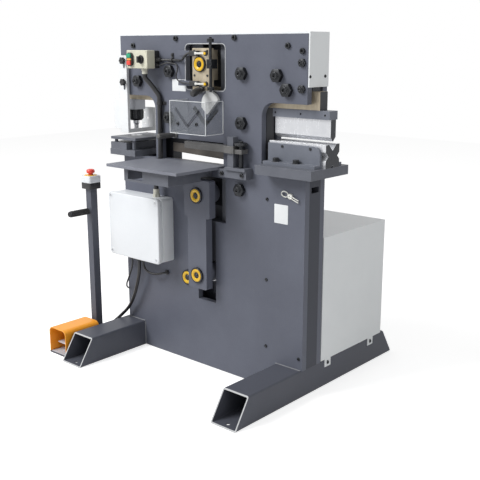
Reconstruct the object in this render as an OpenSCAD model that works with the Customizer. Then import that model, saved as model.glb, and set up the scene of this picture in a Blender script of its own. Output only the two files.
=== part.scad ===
// Ironworker: a hydraulic machine that punches, shears and bends steel, with its pedal stand.
// x is measured from the frame's centre line, y from the mid-plane between its two side
// plates and z from the floor, until at_frame() sets the whole machine over the origin.

/* [Frame] */
// Length of the two side plates
frame_len = 1090; // [1040:5:1160]
// Height of the side plates' top edge above the floor
frame_top = 1500; // [1490:1:1540]
// Thickness of each side plate
plate_t = 28; // [20:1:34]
// Clear gap between the side plates
plate_gap = 74; // [70:1:84]
// Depth of the open throat at each end
throat_depth = 228; // [215:1:235]
// Height of the plates' heads above the throats
head_h = 268; // [262:1:290]
// Clear height of the throats
throat_h = 282; // [274:1:290]
// Corner radius of the throats
throat_r = 55; // [20:1:70]

/* [Skids] */
// Width of the skid tubes
skid_w = 134; // [100:2:150]
// Height of the skid tubes
skid_h = 126; // [100:2:150]
// Wall of the skid tubes
skid_wall = 6; // [4:0.5:10]
// Length of the skids along the floor
skid_len = 1146; // [1000:2:1300]
// Run of the slant at each skid end
skid_slant = 81; // [40:1:120]
// Anchor hole in a skid's bottom wall
anchor_d = 18; // [12:1:24]
// Distance of an anchor hole from the skid's toe
anchor_inset = 32; // [20:1:60]

/* [Ram] */
// Thickness of the ram plate
ram_t = 50; // [40:1:56]
// Working stroke of the ram
stroke = 34; // [20:1:34]
// How far the ram's arms hang below the throats' upper edge at rest
ram_drop = 23; // [18:1:28]
// How far the ram's noses stand out of the frame's ends
ram_nose = 32; // [20:1:40]
// Sliding clearance between a guide pad and the ram
slide_gap = 0.2; // [0.1:0.05:0.4]

/* [Drive] */
// Pin that joins the links to the ram and the piston rod
pin_d = 50; // [36:1:60]
// Thickness of a tie link
link_t = 38; // [24:1:44]
// Width of a tie link's shank
link_w = 112; // [96:1:120]
// Width of a tie link's head
link_head_w = 154; // [130:1:180]
// Drop of the upper link pin below the throats' lower edge
pin_drop = 131; // [125:1:135]
// Distance between the two link pins
pin_span = 362; // [360:1:369]
// Outside diameter of the cylinder barrel
barrel_d = 106; // [98:1:107]
// Bore of the cylinder barrel
bore_d = 80; // [64:1:84]
// Diameter of the piston rod
rod_d = 50; // [36:1:56]

/* [Tooling] */
// Distance of the punch axis from the frame's left end
punch_inset = 20; // [10:1:26]
// Diameter of the punch tip
punch_tip_d = 22; // [12:0.5:28]
// Length of the bending tools
brake_len = 281; // [240:1:300]
// Side of the four-way bending die
die_side = 92; // [86:1:96]
// Thickness of the bending table
brake_table_t = 38; // [30:1:40]
// Thickness of the bending blade
blade_t = 34; // [24:1:36]

/* [Stations] */
// Length of the flat bar table, front to back
shear_table_l = 290; // [268:1:320]
// Width of the flat bar table
shear_table_w = 438; // [420:1:460]
// Thickness of the flat bar table
shear_table_t = 12; // [8:0.5:16]
// Depth of the angle station's guard box
guard_depth = 110; // [104:1:130]
// Wall of the angle station's guard box
guard_wall = 5; // [3:0.5:6]
// Travel of the flat bar hold-down
hold_travel = 55; // [20:1:56]
// Lift of the punch guard
guard_lift = 30; // [10:1:34]

/* [Electrics] */
// Width of the switch box
box_w = 136; // [130:1:146]
// Height of the switch box
box_h = 80; // [76:1:90]
// Depth of the switch box
box_d = 76; // [66:1:90]
// Width of the electrical enclosure
enclosure_w = 346; // [320:2:352]
// Height of the electrical enclosure
enclosure_h = 306; // [260:2:320]
// Depth of the electrical enclosure
enclosure_d = 100; // [90:1:120]

/* [Power unit] */
// Width of the power unit's cover
cover_w = 440; // [400:2:444]
// Depth of the power unit's cover
cover_l = 483; // [440:1:520]
// Height of the power unit's cover
cover_h = 551; // [500:1:600]

/* [Pedal stand] */
// Width of the pedal's hood
hood_w = 128; // [110:1:134]
// Height of the pedal's hood
hood_h = 126; // [112:1:140]
// Side of the stand's square post
post_side = 38; // [30:1:44]
// Height of the stand's post
post_top = 785; // [700:5:900]

/* [Hidden] */
$fn = 48;

// Frame faces
half_len = frame_len / 2;
plate_in = plate_gap / 2;
plate_out = plate_in + plate_t;
plate_foot = 4;
throat_wall = half_len - throat_depth;
throat_top = frame_top - head_h;
throat_bottom = throat_top - throat_h;
upper_pin_z = throat_bottom - pin_drop;
lower_pin_z = upper_pin_z - pin_span;
left_skid_x = -half_len + 50;
right_skid_x = half_len - 75;
skid_back = 96;
running_fit = 0.1;
seat_fit = 0.1;

// The machine's footprint is centred on the origin
tool_reach = 80;
stand_reach = 164;
frame_x = (stand_reach - tool_reach) / 2;
frame_y = -skid_back;

// Ram outline
ram_face = ram_t / 2;
ram_top = frame_top - 60;
ram_bottom = throat_top - ram_drop;
ram_body_w = 2 * (throat_wall - 8);
ram_body_bottom = upper_pin_z + 16;
ram_lug_bottom = upper_pin_z - 54;
ram_nose_h = 72;
ram_end_gap = 5;

// Ram guides: x is the distance from the centre line
pad_t = plate_in - ram_face - slide_gap;
pad_side = 60;
adjuster_d = 30;
nut_af = 50;
nut_t = 20;
stud_end = 9;
head_pad_z = throat_top + 113;
arm_pad_z = throat_top + 55;
waist_pad_z = throat_top - 90;
foot_pad_z = throat_bottom - 83;
pad_x = throat_wall - 96;
adjusters = [[9 - pad_x, head_pad_z], [122 - half_len, arm_pad_z + 10], [pad_x - 8, head_pad_z - 1],
  [pad_x - 8, waist_pad_z], [pad_x - 18, foot_pad_z - 8], [half_len - 146, head_pad_z - 5],
  [half_len - 97, arm_pad_z - 2], [-pad_x, waist_pad_z], [-pad_x, foot_pad_z]];
side_studs = [[half_len - 26, throat_top + 159], [half_len - 26, throat_top + 59]];
side_stud_d = 16;
side_nut_af = 30;

// Openings in the plates
window_w = 232;
window_h = head_h - 77;
window_z = throat_top + 38;
window_r = 18;
bar_gap_x = [-280, 105];
bar_gap_z = [throat_bottom + 3, throat_bottom + 100];
vee_vertex = throat_bottom + 158;
vee_reach = 78;
vee_w = 22;
link_gap_w = 234;
link_gap_z = [upper_pin_z - 119, upper_pin_z + 78];
slot_w = 110;
slot_bottom = lower_pin_z - 135;

// Link train
link_off = 24;
link_y = plate_out + link_off;
link_head_z = [upper_pin_z - 98, upper_pin_z + 69];
link_foot = lower_pin_z - 62;
cap_d = 72;
cap_ring_d = 64;
cap_t = 11;
anchor_x = -120;
anchor_z = lower_pin_z - 46;

// Heights of the shear blades
blade_rake = 12;
flat_blade_z = throat_bottom + 34;
flat_blade_x = [-245, 95];
flat_blade_h = 40;
blade_depth = 18;
angle_blade_w = 30;
angle_blade_reach = 52;

// Punching station
punch_x = -half_len + punch_inset;
bolster_t = 28;
holder_t = 32;
station_y = 115;
punch_table_z = throat_bottom + 74;
punch_table_t = 12;
die_d = 56;
punch_gap = 28;
die_top = punch_table_z + punch_table_t;
punch_tip_z = die_top + punch_gap;
head_side = 64;
head_z = ram_bottom - 49;
holder_d = 72;
holder_z = head_z - 52;

// Bending station
brake_x = half_len - 201;
brake_table_top = throat_bottom + brake_table_t;
die_top_vee = 50;
clamp_h = 34;
clamp_w = 53;
blade_tip_gap = 11;
blade_tip_z = brake_table_top + die_side + blade_tip_gap;

// Angle guard and hold-down
guard_x = [-108, 105];
guard_z = [vee_vertex - 19, vee_vertex + 120];
guard_slot_w = 10;
guard_slot_vertex = vee_vertex + 8;

// Ram boss and trip gear in front of the window
boss_x = [-45, 55];
boss_z = [window_z, window_z + 175];
boss_front = 30;
boss_gap = 4;
boss_cap_z = window_z + 109;
trip_y = -plate_out - 38;
trip_x = 68.5;
trip_d = 12;
collar_d = 30;
switch_x = -47;
switch_zs = [window_z + 154, window_z + 28];
switch_w = 48;
switch_h = 22;
switch_t = 14;
switch_front = plate_out + 50;
lever_len = 54;
lever_pivot = 41;
roller_d = 22;

// Flat bar table and hold-down
shear_x = -327;
shear_z = bar_gap_z[0];
support_x = [-243, 33];
support_l = 262;
support_h = 57;
support_t = 10;
post_x = 167;
hold_post = 32;
hold_post_h = 127;
hold_base_z = shear_z + 5;
hold_y = -plate_out - 44;
hold_bar_z = hold_base_z + 60;
hold_bar_h = 30;
hold_ear_h = 18;
hold_screw_x = 229;
hold_screw_d = 20;
hold_fit = 0.2;

// Switch box and enclosure
box_x = -half_len + 128;
box_z = frame_top - 144;
box_split = 28;
button_x = box_x + 30;
button_z = box_z + box_h / 2;
bezel_w = 36;
bezel_h = 60;
bezel_t = 12;
button_w = 25;
button_h = 19;
button_t = 12;
button_pocket = 52;
button_stand = 6;
selector_x = box_x + 97;
selector_d = 30;
spindle_d = 8;
enclosure_x = -half_len - 10;
enclosure_z = throat_bottom - 478;
enclosure_wall = 4;
lid_d = 22;

// Punch guard of folded sheet
sheet = 2;
guard_front = plate_out + 20;
strip_x = [punch_x - 14, punch_x + 42];
strip_z = [throat_bottom + 105, frame_top - 88];
wing_x = punch_x - 55;
wing_z = [throat_bottom + 122, throat_top - 21];
guard_back = 85;
guard_rail = 18;
guard_stile = 14;
guard_back_z = throat_bottom + 215;
knob_x = punch_x + 24;
knob_zs = [frame_top - 112, frame_top - 210];
knob_d = 34;
knob_t = 18;
knob_stud_d = 10;
knob_boss_d = 24;

// Power unit behind the frame
cover_x = half_len - 5;
cover_y = plate_out + 12;
cover_sheet = 3;
tray_t = 6;
tray_inset = 20;

// Pedal stand beside the left skid
stand_x = -half_len - 100;
stand_y = -195;
stand_front = -440;
stand_back = -165;
stand_plate_t = 6;
post_wall = 3;
hood_wall = 5;
hood_back = -235;
hood_r = 26;
pedal_pivot_z = 44;
pedal_pivot_y = -252;
pedal_pin_d = 10;
pedal_w = 82;
pedal_l = 150;
station_side = 70;
station_base_h = 30;
station_lid_h = 34;
station_r = 8;
mushroom_d = 40;
mushroom_stem_d = 22;
grip_d = 28;
grip_l = 118;
grip_z = 676;

// Cable routes, points chosen by hand in the machine's own frame
conduit_d = 22;
lead_d = 10;
thin_lead_d = 6;
supply_d = 8;
pedal_cable_d = 16;
motor_cable_d = 10.5;
gland_drop = 20;
conduit_route = laid([[-332, -110, 1332], [-332, -110, 1318], [-314, -101, 1294], [-294, -86, 1262],
  [-275, -79, 1232], [-273, -79, 1212], [-273, -79, 1190], [-273, -79, 1100], [-274, -79, 1000],
  [-275, -80, 950], [-278, -88, 900], [-283, -100, 850], [-283, -103, 828], [-283, -103, 812]],
  [box_x + 85, -110, box_z - 24], [enclosure_x + 272, -103, enclosure_z + enclosure_h + 34]);
lead_route = laid([[-255, -81, 1394], [-245, -81, 1394], [-228, -77, 1394], [-207, -73, 1394],
  [-183, -73, 1394], [-155, -75, 1393], [-125, -83, 1393], [-100, -100, 1396], [-78, -113, 1408],
  [-60, -110, 1422], [-53, -108, 1424], [-47, -108, 1424]],
  [box_x + box_w + 26, -81, box_z + 38], [switch_x, -108, switch_zs[0]]);
branch_route = laid([[-265, -85, 1372], [-254, -85, 1372], [-228, -78, 1380], [-195, -71, 1380],
  [-168, -71, 1373], [-158, -77, 1350], [-150, -92, 1328], [-130, -106, 1314], [-100, -111, 1302],
  [-60, -109, 1298], [-47, -109, 1298]],
  [box_x + box_w + 16, -85, box_z + 16], [switch_x, -109, switch_zs[1]]);
supply_route = laid([[-450, -117, 452], [-450, -117, 436], [-458, -115, 408], [-478, -111, 370],
  [-503, -103, 335], [-530, -90, 305], [-552, -70, 280], [-565, -44, 262], [-566, -22, 251],
  [-560, -6, 246], [-553, 0, 246], [-545, 0, 246]],
  [enclosure_x + 105, -117, enclosure_z - gland_drop], [-half_len, 0, (enclosure_z + skid_h) / 2 - 53]);
pedal_drop = laid([[-401, -117, 452], [-401, -117, 430], [-407, -114, 395], [-424, -108, 350],
  [-446, -102, 300], [-471, -98, 250], [-500, -95, 206], [-530, -95, 171]],
  [enclosure_x + 154, -117, enclosure_z - gland_drop], [left_skid_x - 35, -95, skid_h + 45]);
pedal_run = laid([[-561, -102, 139], [-583, -118, 113], [-597, -140, 94], [-602, -167, 79],
  [-602, -189, 72], [-602, -208, 68], [-602, -221, 68]],
  [left_skid_x - 66, -102, skid_h + 13], [stand_x + 43, -221, 68]);
pedal_cable_route = concat(pedal_drop, pedal_run);
motor_cable_route = laid([[-371, -117, 452], [-371, -117, 438], [-364, -116, 418], [-346, -112, 404],
  [-320, -106, 398], [-292, -98, 400], [-268, -88, 406], [-258, -79, 409], [-258, -73, 409]],
  [enclosure_x + 184, -117, enclosure_z - gland_drop], [enclosure_x + 297, -73, enclosure_z - 63]);
clip_w = 14;
conduit_clip = conduit_route[6] + [0, 0, 6];
lead_clip = lead_route[3] + [6, 0, 0];

// Shared shapes
module at_frame() {
  translate([frame_x, frame_y, 0])
    children();
}

// Extrudes an outline drawn in x and z from y to y + t
module upright(y, t) {
  translate([0, y + t, 0])
    rotate([90, 0, 0])
      linear_extrude(t)
        children();
}

// Extrudes an outline drawn in y and z from x to x + l
module along(x, l) {
  translate([x, 0, 0])
    rotate([90, 0, 90])
      linear_extrude(l)
        children();
}

// Box given by its lowest and highest corners
module block(low, high) {
  translate(low)
    cube(high - low);
}

// Round bar along y
module y_rod(x, z, d, y0, y1) {
  translate([x, y0, z])
    rotate([-90, 0, 0])
      cylinder(d = d, h = y1 - y0);
}

// Round bar along x
module x_rod(y, z, d, x0, x1) {
  translate([x0, y, z])
    rotate([0, 90, 0])
      cylinder(d = d, h = x1 - x0);
}

// Hexagon along y, given by its width across the flats
module y_hex(x, z, af, y0, y1) {
  translate([x, y0, z])
    rotate([-90, 0, 0])
      cylinder(d = af / cos(30), h = y1 - y0, $fn = 6);
}

// Rectangle with round corners, low corner at the origin
module round_rect(w, h, r) {
  translate([r, 0])
    square([w - 2 * r, h]);
  translate([0, r])
    square([w, h - 2 * r]);
  for (x = [r, w - r])
    for (y = [r, h - r])
      translate([x, y])
        circle(r);
}

// Upright slot with round ends, low corner of its box at the origin
module capsule(w, h) {
  translate([0, w / 2])
    square([w, h - w]);
  for (y = [w / 2, h - w / 2])
    translate([w / 2, y])
      circle(w / 2);
}

// Chevron of one angle bar: the outer corner points down
module vee_band(w, vertex, reach) {
  s = w / sqrt(2);
  translate([0, vertex])
    polygon([[0, 0], [reach, reach], [reach - s, reach + s], [0, 2 * s],
      [s - reach, reach + s], [-reach, reach]]);
}

function unit(v) = v / norm(v);
function last(p) = p[len(p) - 1];
// A drawn route that is shifted so that its ends lie at a and b
function laid(p, a, b) =
  let (m = len(p) - 1, from = a - p[0], to = b - last(p))
  [for (i = [0:m]) p[i] + from + (to - from) * i / m];
function heading(p, i) = unit(p[min(i + 1, len(p) - 1)] - p[max(i - 1, 0)]);
function ring_at(c, t, r, aim, n) =
  let (u = unit(cross(t, aim)), v = cross(t, u))
  [for (k = [0:n - 1]) c + r * (cos(360 * k / n) * u + sin(360 * k / n) * v)];

// Round tube along a list of points; aim is a direction that the route never follows
module tube(p, d, aim, n = 10) {
  m = len(p);
  rings = [for (i = [0:m - 1]) each ring_at(p[i], heading(p, i), d / 2, aim, n)];
  walls = [for (i = [0:m - 2]) for (k = [0:n - 1])
    let (a = i * n + k, b = i * n + (k + 1) % n)
    each [[a, b, b + n], [a, b + n, a + n]]];
  first = [for (k = [0:n - 1]) n - 1 - k];
  last = [for (k = [0:n - 1]) (m - 1) * n + k];
  polyhedron(rings, concat([first], walls, [last]), convexity = 6);
}

// Frame
module throat_cut() {
  w = throat_depth + 1;
  h = throat_top - throat_bottom;
  translate([throat_wall, throat_bottom]) {
    translate([throat_r, 0])
      square([w - throat_r, h]);
    square([w, h - throat_r]);
    translate([throat_r, h - throat_r])
      circle(throat_r);
  }
}

module plate_outline() {
  difference() {
    translate([-half_len, plate_foot])
      square([frame_len, frame_top - plate_foot]);
    translate([-half_len - 1, 0])
      square([left_skid_x + skid_w / 2 + half_len + 1, skid_h]);
    translate([right_skid_x - skid_w / 2, 0])
      square([half_len - right_skid_x + skid_w / 2 + 1, skid_h]);
    throat_cut();
    mirror([1, 0])
      throat_cut();
    translate([-link_gap_w / 2, link_gap_z[0]])
      square([link_gap_w, link_gap_z[1] - link_gap_z[0]]);
    translate([-slot_w / 2, slot_bottom])
      square([slot_w, link_gap_z[0] - slot_bottom + 1]);
  }
}

module bar_gap(low) {
  translate([bar_gap_x[0], low])
    square([bar_gap_x[1] - bar_gap_x[0], bar_gap_z[1] - low]);
}

module front_plate() {
  color("#63666d") at_frame() {
    difference() {
      upright(-plate_out, plate_t)
        difference() {
          plate_outline();
          translate([-window_w / 2, window_z])
            round_rect(window_w, window_h, window_r);
          bar_gap(bar_gap_z[0]);
          vee_band(vee_w, vee_vertex, vee_reach);
        }
      for (p = adjusters)
        y_rod(p[0], p[1], adjuster_d + seat_fit, -plate_out - 1, -plate_in + 1);
      for (p = side_studs)
        y_rod(p[0], p[1], side_stud_d + seat_fit, -plate_out - 1, -plate_in + 1);
      y_rod(anchor_x, anchor_z, pin_d + seat_fit, -plate_out - 1, -plate_in + 1);
      for (z = knob_zs)
        y_rod(knob_x, z, knob_stud_d + running_fit, -plate_out - 1, -plate_out + 10);
    }
    for (z = knob_zs)
      difference() {
        y_rod(knob_x, z, knob_boss_d, -guard_front, -plate_out);
        y_rod(knob_x, z, knob_stud_d + running_fit, -guard_front - 1, -plate_out + 1);
      }
  }
}

module rear_plate() {
  color("#63666d") at_frame()
    difference() {
      upright(plate_in, plate_t)
        difference() {
          plate_outline();
          bar_gap(bar_gap_z[0] - 23);
          vee_band(vee_w + 12, vee_vertex - 9, vee_reach);
        }
      y_rod(anchor_x, anchor_z, pin_d + seat_fit, plate_in - 1, plate_out + 1);
    }
}

module frame_spacers() {
  column_t = 28;
  tie_h = 50;
  tie_foot = 10;
  slot_l = 50;
  slot_h = 24;
  slot_z = throat_bottom - 72;
  color("#5c5f66") at_frame() {
    block([-half_len, -plate_in, skid_h], [-half_len + column_t, plate_in, throat_bottom]);
    difference() {
      block([half_len - column_t, -plate_in, skid_h], [half_len, plate_in, throat_bottom]);
      block([half_len - column_t - 1, -slot_l / 2, slot_z],
        [half_len + 1, slot_l / 2, slot_z + slot_h]);
    }
    block([left_skid_x + skid_w / 2, -plate_in, tie_foot],
      [right_skid_x - skid_w / 2, plate_in, tie_foot + tie_h]);
    block([-half_len + column_t, -plate_in, frame_top - 38],
      [half_len - column_t, plate_in, frame_top]);
  }
}

module skid(x) {
  outer_r = 8;
  inner_r = 4;
  toe = skid_back - skid_len / 2;
  heel = skid_back + skid_len / 2;
  at_frame()
    difference() {
      intersection() {
        upright(toe, skid_len)
          translate([x - skid_w / 2, 0])
            difference() {
              round_rect(skid_w, skid_h, outer_r);
              translate([skid_wall, skid_wall])
                round_rect(skid_w - 2 * skid_wall, skid_h - 2 * skid_wall, inner_r);
            }
        along(x - skid_w / 2 - 1, skid_w + 2)
          polygon([[toe, 0], [heel, 0], [heel - skid_slant, skid_h], [toe + skid_slant, skid_h]]);
      }
      for (y = [toe + anchor_inset, heel - anchor_inset])
        translate([x, y, -1])
          cylinder(d = anchor_d, h = skid_wall + 2);
    }
}

module left_skid() {
  color("#54575e") skid(left_skid_x);
}

module right_skid() {
  color("#54575e") skid(right_skid_x);
}

module top_cover() {
  lip = 7;
  edge = plate_out - 2;
  leg_z = frame_top - 202;
  end = half_len + lip;
  color("#dfe2e4") at_frame()
    difference() {
      block([-end, -edge, leg_z], [end, edge, frame_top + lip]);
      block([-end + sheet, -edge + sheet, leg_z + sheet],
        [end - sheet, edge - sheet, frame_top + lip - sheet]);
      block([-half_len, -edge - 1, leg_z - 1], [half_len, edge + 1, frame_top]);
    }
}

// Hexagon nuts on studs that set the guide pads
module guide_adjusters() {
  color("#3a3c42") at_frame() {
    for (p = adjusters)
      union() {
        y_rod(p[0], p[1], adjuster_d, -plate_out - nut_t - stud_end, -plate_in);
        y_hex(p[0], p[1], nut_af, -plate_out - nut_t, -plate_out);
      }
    for (p = side_studs)
      union() {
        y_rod(p[0], p[1], side_stud_d, -plate_out - nut_t, -plate_in);
        y_hex(p[0], p[1], side_nut_af, -plate_out - nut_t / 2, -plate_out);
      }
  }
}

module guide_pads() {
  color("#a8783c") at_frame()
    for (p = adjusters)
      for (y = [-plate_in, plate_in - pad_t])
        block([p[0] - pad_side / 2, y, p[1] - pad_side / 2],
          [p[0] + pad_side / 2, y + pad_t, p[1] + pad_side / 2]);
}

// Drive: a cylinder in the slot pulls the ram down through a pair of links
module cylinder_barrel() {
  foot = lower_pin_z + 53;
  gland_h = 20;
  chamber_top = lower_pin_z + 183;
  head_w = 250;
  head_z = [link_gap_z[0] - 64, link_gap_z[0] - 4];
  color("#3f4148") at_frame()
    difference() {
      union() {
        translate([0, 0, foot])
          cylinder(d = barrel_d, h = head_z[1] - foot);
        block([-head_w / 2, -plate_in, head_z[0]], [head_w / 2, plate_in, head_z[1]]);
      }
      translate([0, 0, foot - 1])
        cylinder(d = rod_d + running_fit, h = gland_h + 2);
      translate([0, 0, foot + gland_h])
        cylinder(d = bore_d, h = chamber_top - foot - gland_h);
    }
}

module piston_rod() {
  eye_d = 96;
  eye_w = 60;
  piston_z = lower_pin_z + 143;
  piston_h = 25;
  color("#c9ccd1") at_frame()
    difference() {
      union() {
        y_rod(0, lower_pin_z, eye_d, -eye_w / 2, eye_w / 2);
        translate([0, 0, lower_pin_z])
          cylinder(d = rod_d, h = piston_z - lower_pin_z + 1);
        translate([0, 0, piston_z])
          cylinder(d = bore_d - running_fit, h = piston_h);
      }
      y_rod(0, lower_pin_z, pin_d + seat_fit, -eye_w / 2 - 1, eye_w / 2 + 1);
    }
}

module tie_link(side) {
  corner_r = 8;
  sleeve_d = 90;
  eye_half = 30;
  mirror([0, side, 0])
    difference() {
      union() {
        upright(-link_y - link_t, link_t) {
          translate([-link_head_w / 2, link_head_z[0]])
            round_rect(link_head_w, link_head_z[1] - link_head_z[0], corner_r);
          translate([-link_w / 2, link_foot])
            round_rect(link_w, link_head_z[0] - link_foot + 2 * corner_r, corner_r);
        }
        y_rod(0, upper_pin_z, sleeve_d, -link_y - 1, -ram_face);
        y_rod(0, lower_pin_z, sleeve_d, -link_y - 1, -eye_half);
      }
      for (z = [upper_pin_z, lower_pin_z])
        y_rod(0, z, pin_d + seat_fit, -link_y - link_t - 1, 0);
    }
}

module tie_links() {
  color("#565960") at_frame() {
    tie_link(0);
    tie_link(1);
  }
}

// Stepped cap with a ring, its back face at y, standing out towards the front
module pin_cap(x, z, y, d = cap_d) {
  y_rod(x, z, d, y - cap_t / 2, y);
  difference() {
    y_rod(x, z, min(cap_ring_d, d), y - cap_t, y - cap_t / 2 + 1);
    y_rod(x, z, cap_ring_d / 2, y - cap_t - 1, y - cap_t + 2);
  }
  y_hex(x, z, cap_ring_d / 4, y - cap_t, y - cap_t / 2);
}

module link_pins() {
  front = -link_y - link_t;
  color("#d8a81e") at_frame() {
    for (z = [upper_pin_z, lower_pin_z])
      union() {
        y_rod(0, z, pin_d, front - 1, -front + 1);
        pin_cap(0, z, front);
        mirror([0, 1, 0])
          pin_cap(0, z, front);
      }
    pin_cap(1, boss_cap_z, -plate_out - boss_front, cap_ring_d);
  }
}

module anchor_pin() {
  color("#d8a81e") at_frame()
    union() {
      y_rod(anchor_x, anchor_z, pin_d, -plate_out - 1, plate_out);
      pin_cap(anchor_x, anchor_z, -plate_out);
    }
}

// Ram: one plate that carries all the moving tools
module ram_outline() {
  arm_w = frame_len - 2 * ram_end_gap;
  nose_w = frame_len + 2 * ram_nose;
  translate([-ram_body_w / 2, ram_body_bottom])
    square([ram_body_w, ram_top - ram_body_bottom]);
  translate([-arm_w / 2, ram_bottom])
    square([arm_w, ram_top - ram_bottom]);
  translate([-nose_w / 2, ram_bottom])
    square([nose_w, ram_nose_h]);
  translate([-link_head_w / 2, ram_lug_bottom])
    square([link_head_w, ram_body_bottom - ram_lug_bottom + 1]);
}

module flat_blade_outline() {
  top = flat_blade_z + flat_blade_h;
  polygon([[flat_blade_x[0], top], [flat_blade_x[1], top],
    [flat_blade_x[1], flat_blade_z - blade_rake], [flat_blade_x[0], flat_blade_z]]);
}

module angle_blade_outline() {
  inner = vee_vertex + vee_w * sqrt(2);
  vee_band(angle_blade_w, inner, angle_blade_reach);
}

module ram_plate() {
  window_low = throat_bottom - 10;
  color("#b3a68d") at_frame()
    difference() {
      upright(-ram_face, ram_t)
        difference() {
          ram_outline();
          translate([flat_blade_x[0], window_low])
            square([flat_blade_x[1] - flat_blade_x[0], flat_blade_z + 16 - window_low]);
          vee_band(vee_w, vee_vertex, vee_reach);
        }
      upright(-ram_face - 1, blade_depth + 1) {
        flat_blade_outline();
        angle_blade_outline();
      }
      y_rod(0, upper_pin_z, pin_d + seat_fit, -ram_face - 1, ram_face + 1);
    }
}

module moving_blades() {
  color("#aeb2b8") at_frame()
    upright(-ram_face, blade_depth) {
      flat_blade_outline();
      angle_blade_outline();
    }
}

module fixed_blades() {
  flat_h = 38;
  chevron_w = 26;
  color("#9da1a8") at_frame()
    upright(-plate_in, pad_t) {
      translate([flat_blade_x[0], bar_gap_z[0] - flat_h])
        square([flat_blade_x[1] - flat_blade_x[0], flat_h]);
      vee_band(chevron_w, vee_vertex - chevron_w * sqrt(2), vee_reach - 6);
    }
}

module ram_boss() {
  stem_x = [-28, 38];
  stem_z = [boss_z[0] + 42, boss_z[1] - 7];
  color("#cdbfa2") at_frame() {
    block([boss_x[0], -plate_out - boss_front, boss_z[0]],
      [boss_x[1], -plate_out - boss_gap, boss_z[1]]);
    block([stem_x[0], -plate_out - boss_gap, stem_z[0]], [stem_x[1], -ram_face, stem_z[1]]);
  }
}

// Rod with two collars that trip the limit switches, clamped to the boss
module trip_rod() {
  collar_h = 14;
  reach = switch_zs[0] + roller_d / 2 + stroke + 1;
  low = switch_zs[1] - roller_d / 2 - 0.5;
  clamp_z = [boss_cap_z - 17, boss_cap_z + 21];
  foot = boss_z[0] - 4;
  color("#26272b") at_frame() {
    translate([trip_x, trip_y, foot])
      cylinder(d = trip_d, h = reach + collar_h + 6 - foot);
    translate([trip_x, trip_y, reach])
      cylinder(d = collar_d, h = collar_h);
    translate([trip_x, trip_y, low - collar_h])
      cylinder(d = collar_d, h = collar_h);
    block([boss_x[1], trip_y - 9, clamp_z[0]],
      [trip_x + 14, -plate_out - boss_gap - 8, clamp_z[1]]);
  }
}

// Pick-shaped presser of the angle station, with the round grip that sets it
module angle_hold_down() {
  t = 14;
  back = -plate_out - boss_gap;
  r = 50;
  middle_x = 44;
  crown = boss_z[0] - 56;
  tip_x = 26;
  tip = vee_vertex + vee_w * sqrt(2) + tip_x + 2;
  neck_x = [20, 52];
  grip_x = 15;
  grip_at = boss_z[0] + 6;
  grip_foot = 12;
  grip_root = 8;
  grip_tilt = 18;
  grip_len = 62;
  color("#d9dadb") at_frame() {
    upright(back - t, t) {
      translate([middle_x, 0])
        intersection() {
          union() {
            translate([0, crown])
              circle(r);
            translate([-r, tip])
              square([2 * r, crown - tip]);
          }
          translate([tip_x - middle_x, tip])
            polygon([[0, 0], [3 * r, 3 * r], [3 * r, 5 * r], [-3 * r, 5 * r], [-3 * r, 3 * r]]);
        }
      translate([neck_x[0], crown])
        square([neck_x[1] - neck_x[0], boss_z[0] - crown]);
    }
    translate([grip_x, -plate_out - boss_front, grip_at]) {
      block([-grip_foot, -grip_foot, -grip_foot], [grip_foot, 0, grip_foot]);
      translate([0, -grip_root, 0])
        rotate([90 + grip_tilt, 0, 0])
          rotate_extrude()
            polygon([[0, 0], [8, 0], [8, 8], [12, 12], [13, 30], [12, grip_len - 6], [8, grip_len],
              [0, grip_len]]);
    }
  }
}

// Punching station
module punch_bolster() {
  w = 176;
  color("#4d5057") at_frame()
    difference() {
      block([punch_x - 62, -station_y, throat_bottom],
        [punch_x - 62 + w, station_y, throat_bottom + bolster_t]);
      translate([punch_x, 0, throat_bottom - 1])
        cylinder(d = die_d - 16, h = bolster_t + 2);
    }
}

module die_holder() {
  w = 112;
  low = throat_bottom + bolster_t;
  seat = low + holder_t / 2;
  color("#4d5057") at_frame()
    difference() {
      block([punch_x - w / 2, -station_y, low], [punch_x + w / 2, station_y, low + holder_t]);
      translate([punch_x, 0, low - 1])
        cylinder(d = die_d - 16, h = holder_t + 2);
      translate([punch_x, 0, seat])
        cylinder(d = die_d + seat_fit, h = holder_t);
    }
}

module punch_die() {
  seat = throat_bottom + bolster_t + holder_t / 2;
  color("#8f949b") at_frame()
    difference() {
      translate([punch_x, 0, seat])
        cylinder(d = die_d, h = die_top - seat);
      translate([punch_x, 0, seat - 1])
        cylinder(d = punch_tip_d + 8, h = die_top - seat - 13);
      translate([punch_x, 0, seat - 1])
        cylinder(d = punch_tip_d + 1.2, h = die_top - seat + 2);
    }
}

module punch_table() {
  x = [punch_x - 54, punch_x + 120];
  leg_d = 16;
  leg_y = station_y - 20;
  bolster_top = throat_bottom + bolster_t;
  color("#5a5d64") at_frame() {
    difference() {
      block([x[0], -station_y, punch_table_z], [x[1], station_y, die_top]);
      translate([punch_x, 0, punch_table_z - 1])
        cylinder(d = die_d + 4, h = punch_table_t + 2);
    }
    for (y = [-leg_y, leg_y]) {
      translate([punch_x - 38, y, bolster_top + holder_t])
        cylinder(d = leg_d, h = punch_table_z - bolster_top - holder_t);
      translate([punch_x + 88, y, bolster_top])
        cylinder(d = leg_d, h = punch_table_z - bolster_top);
    }
  }
}

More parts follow.
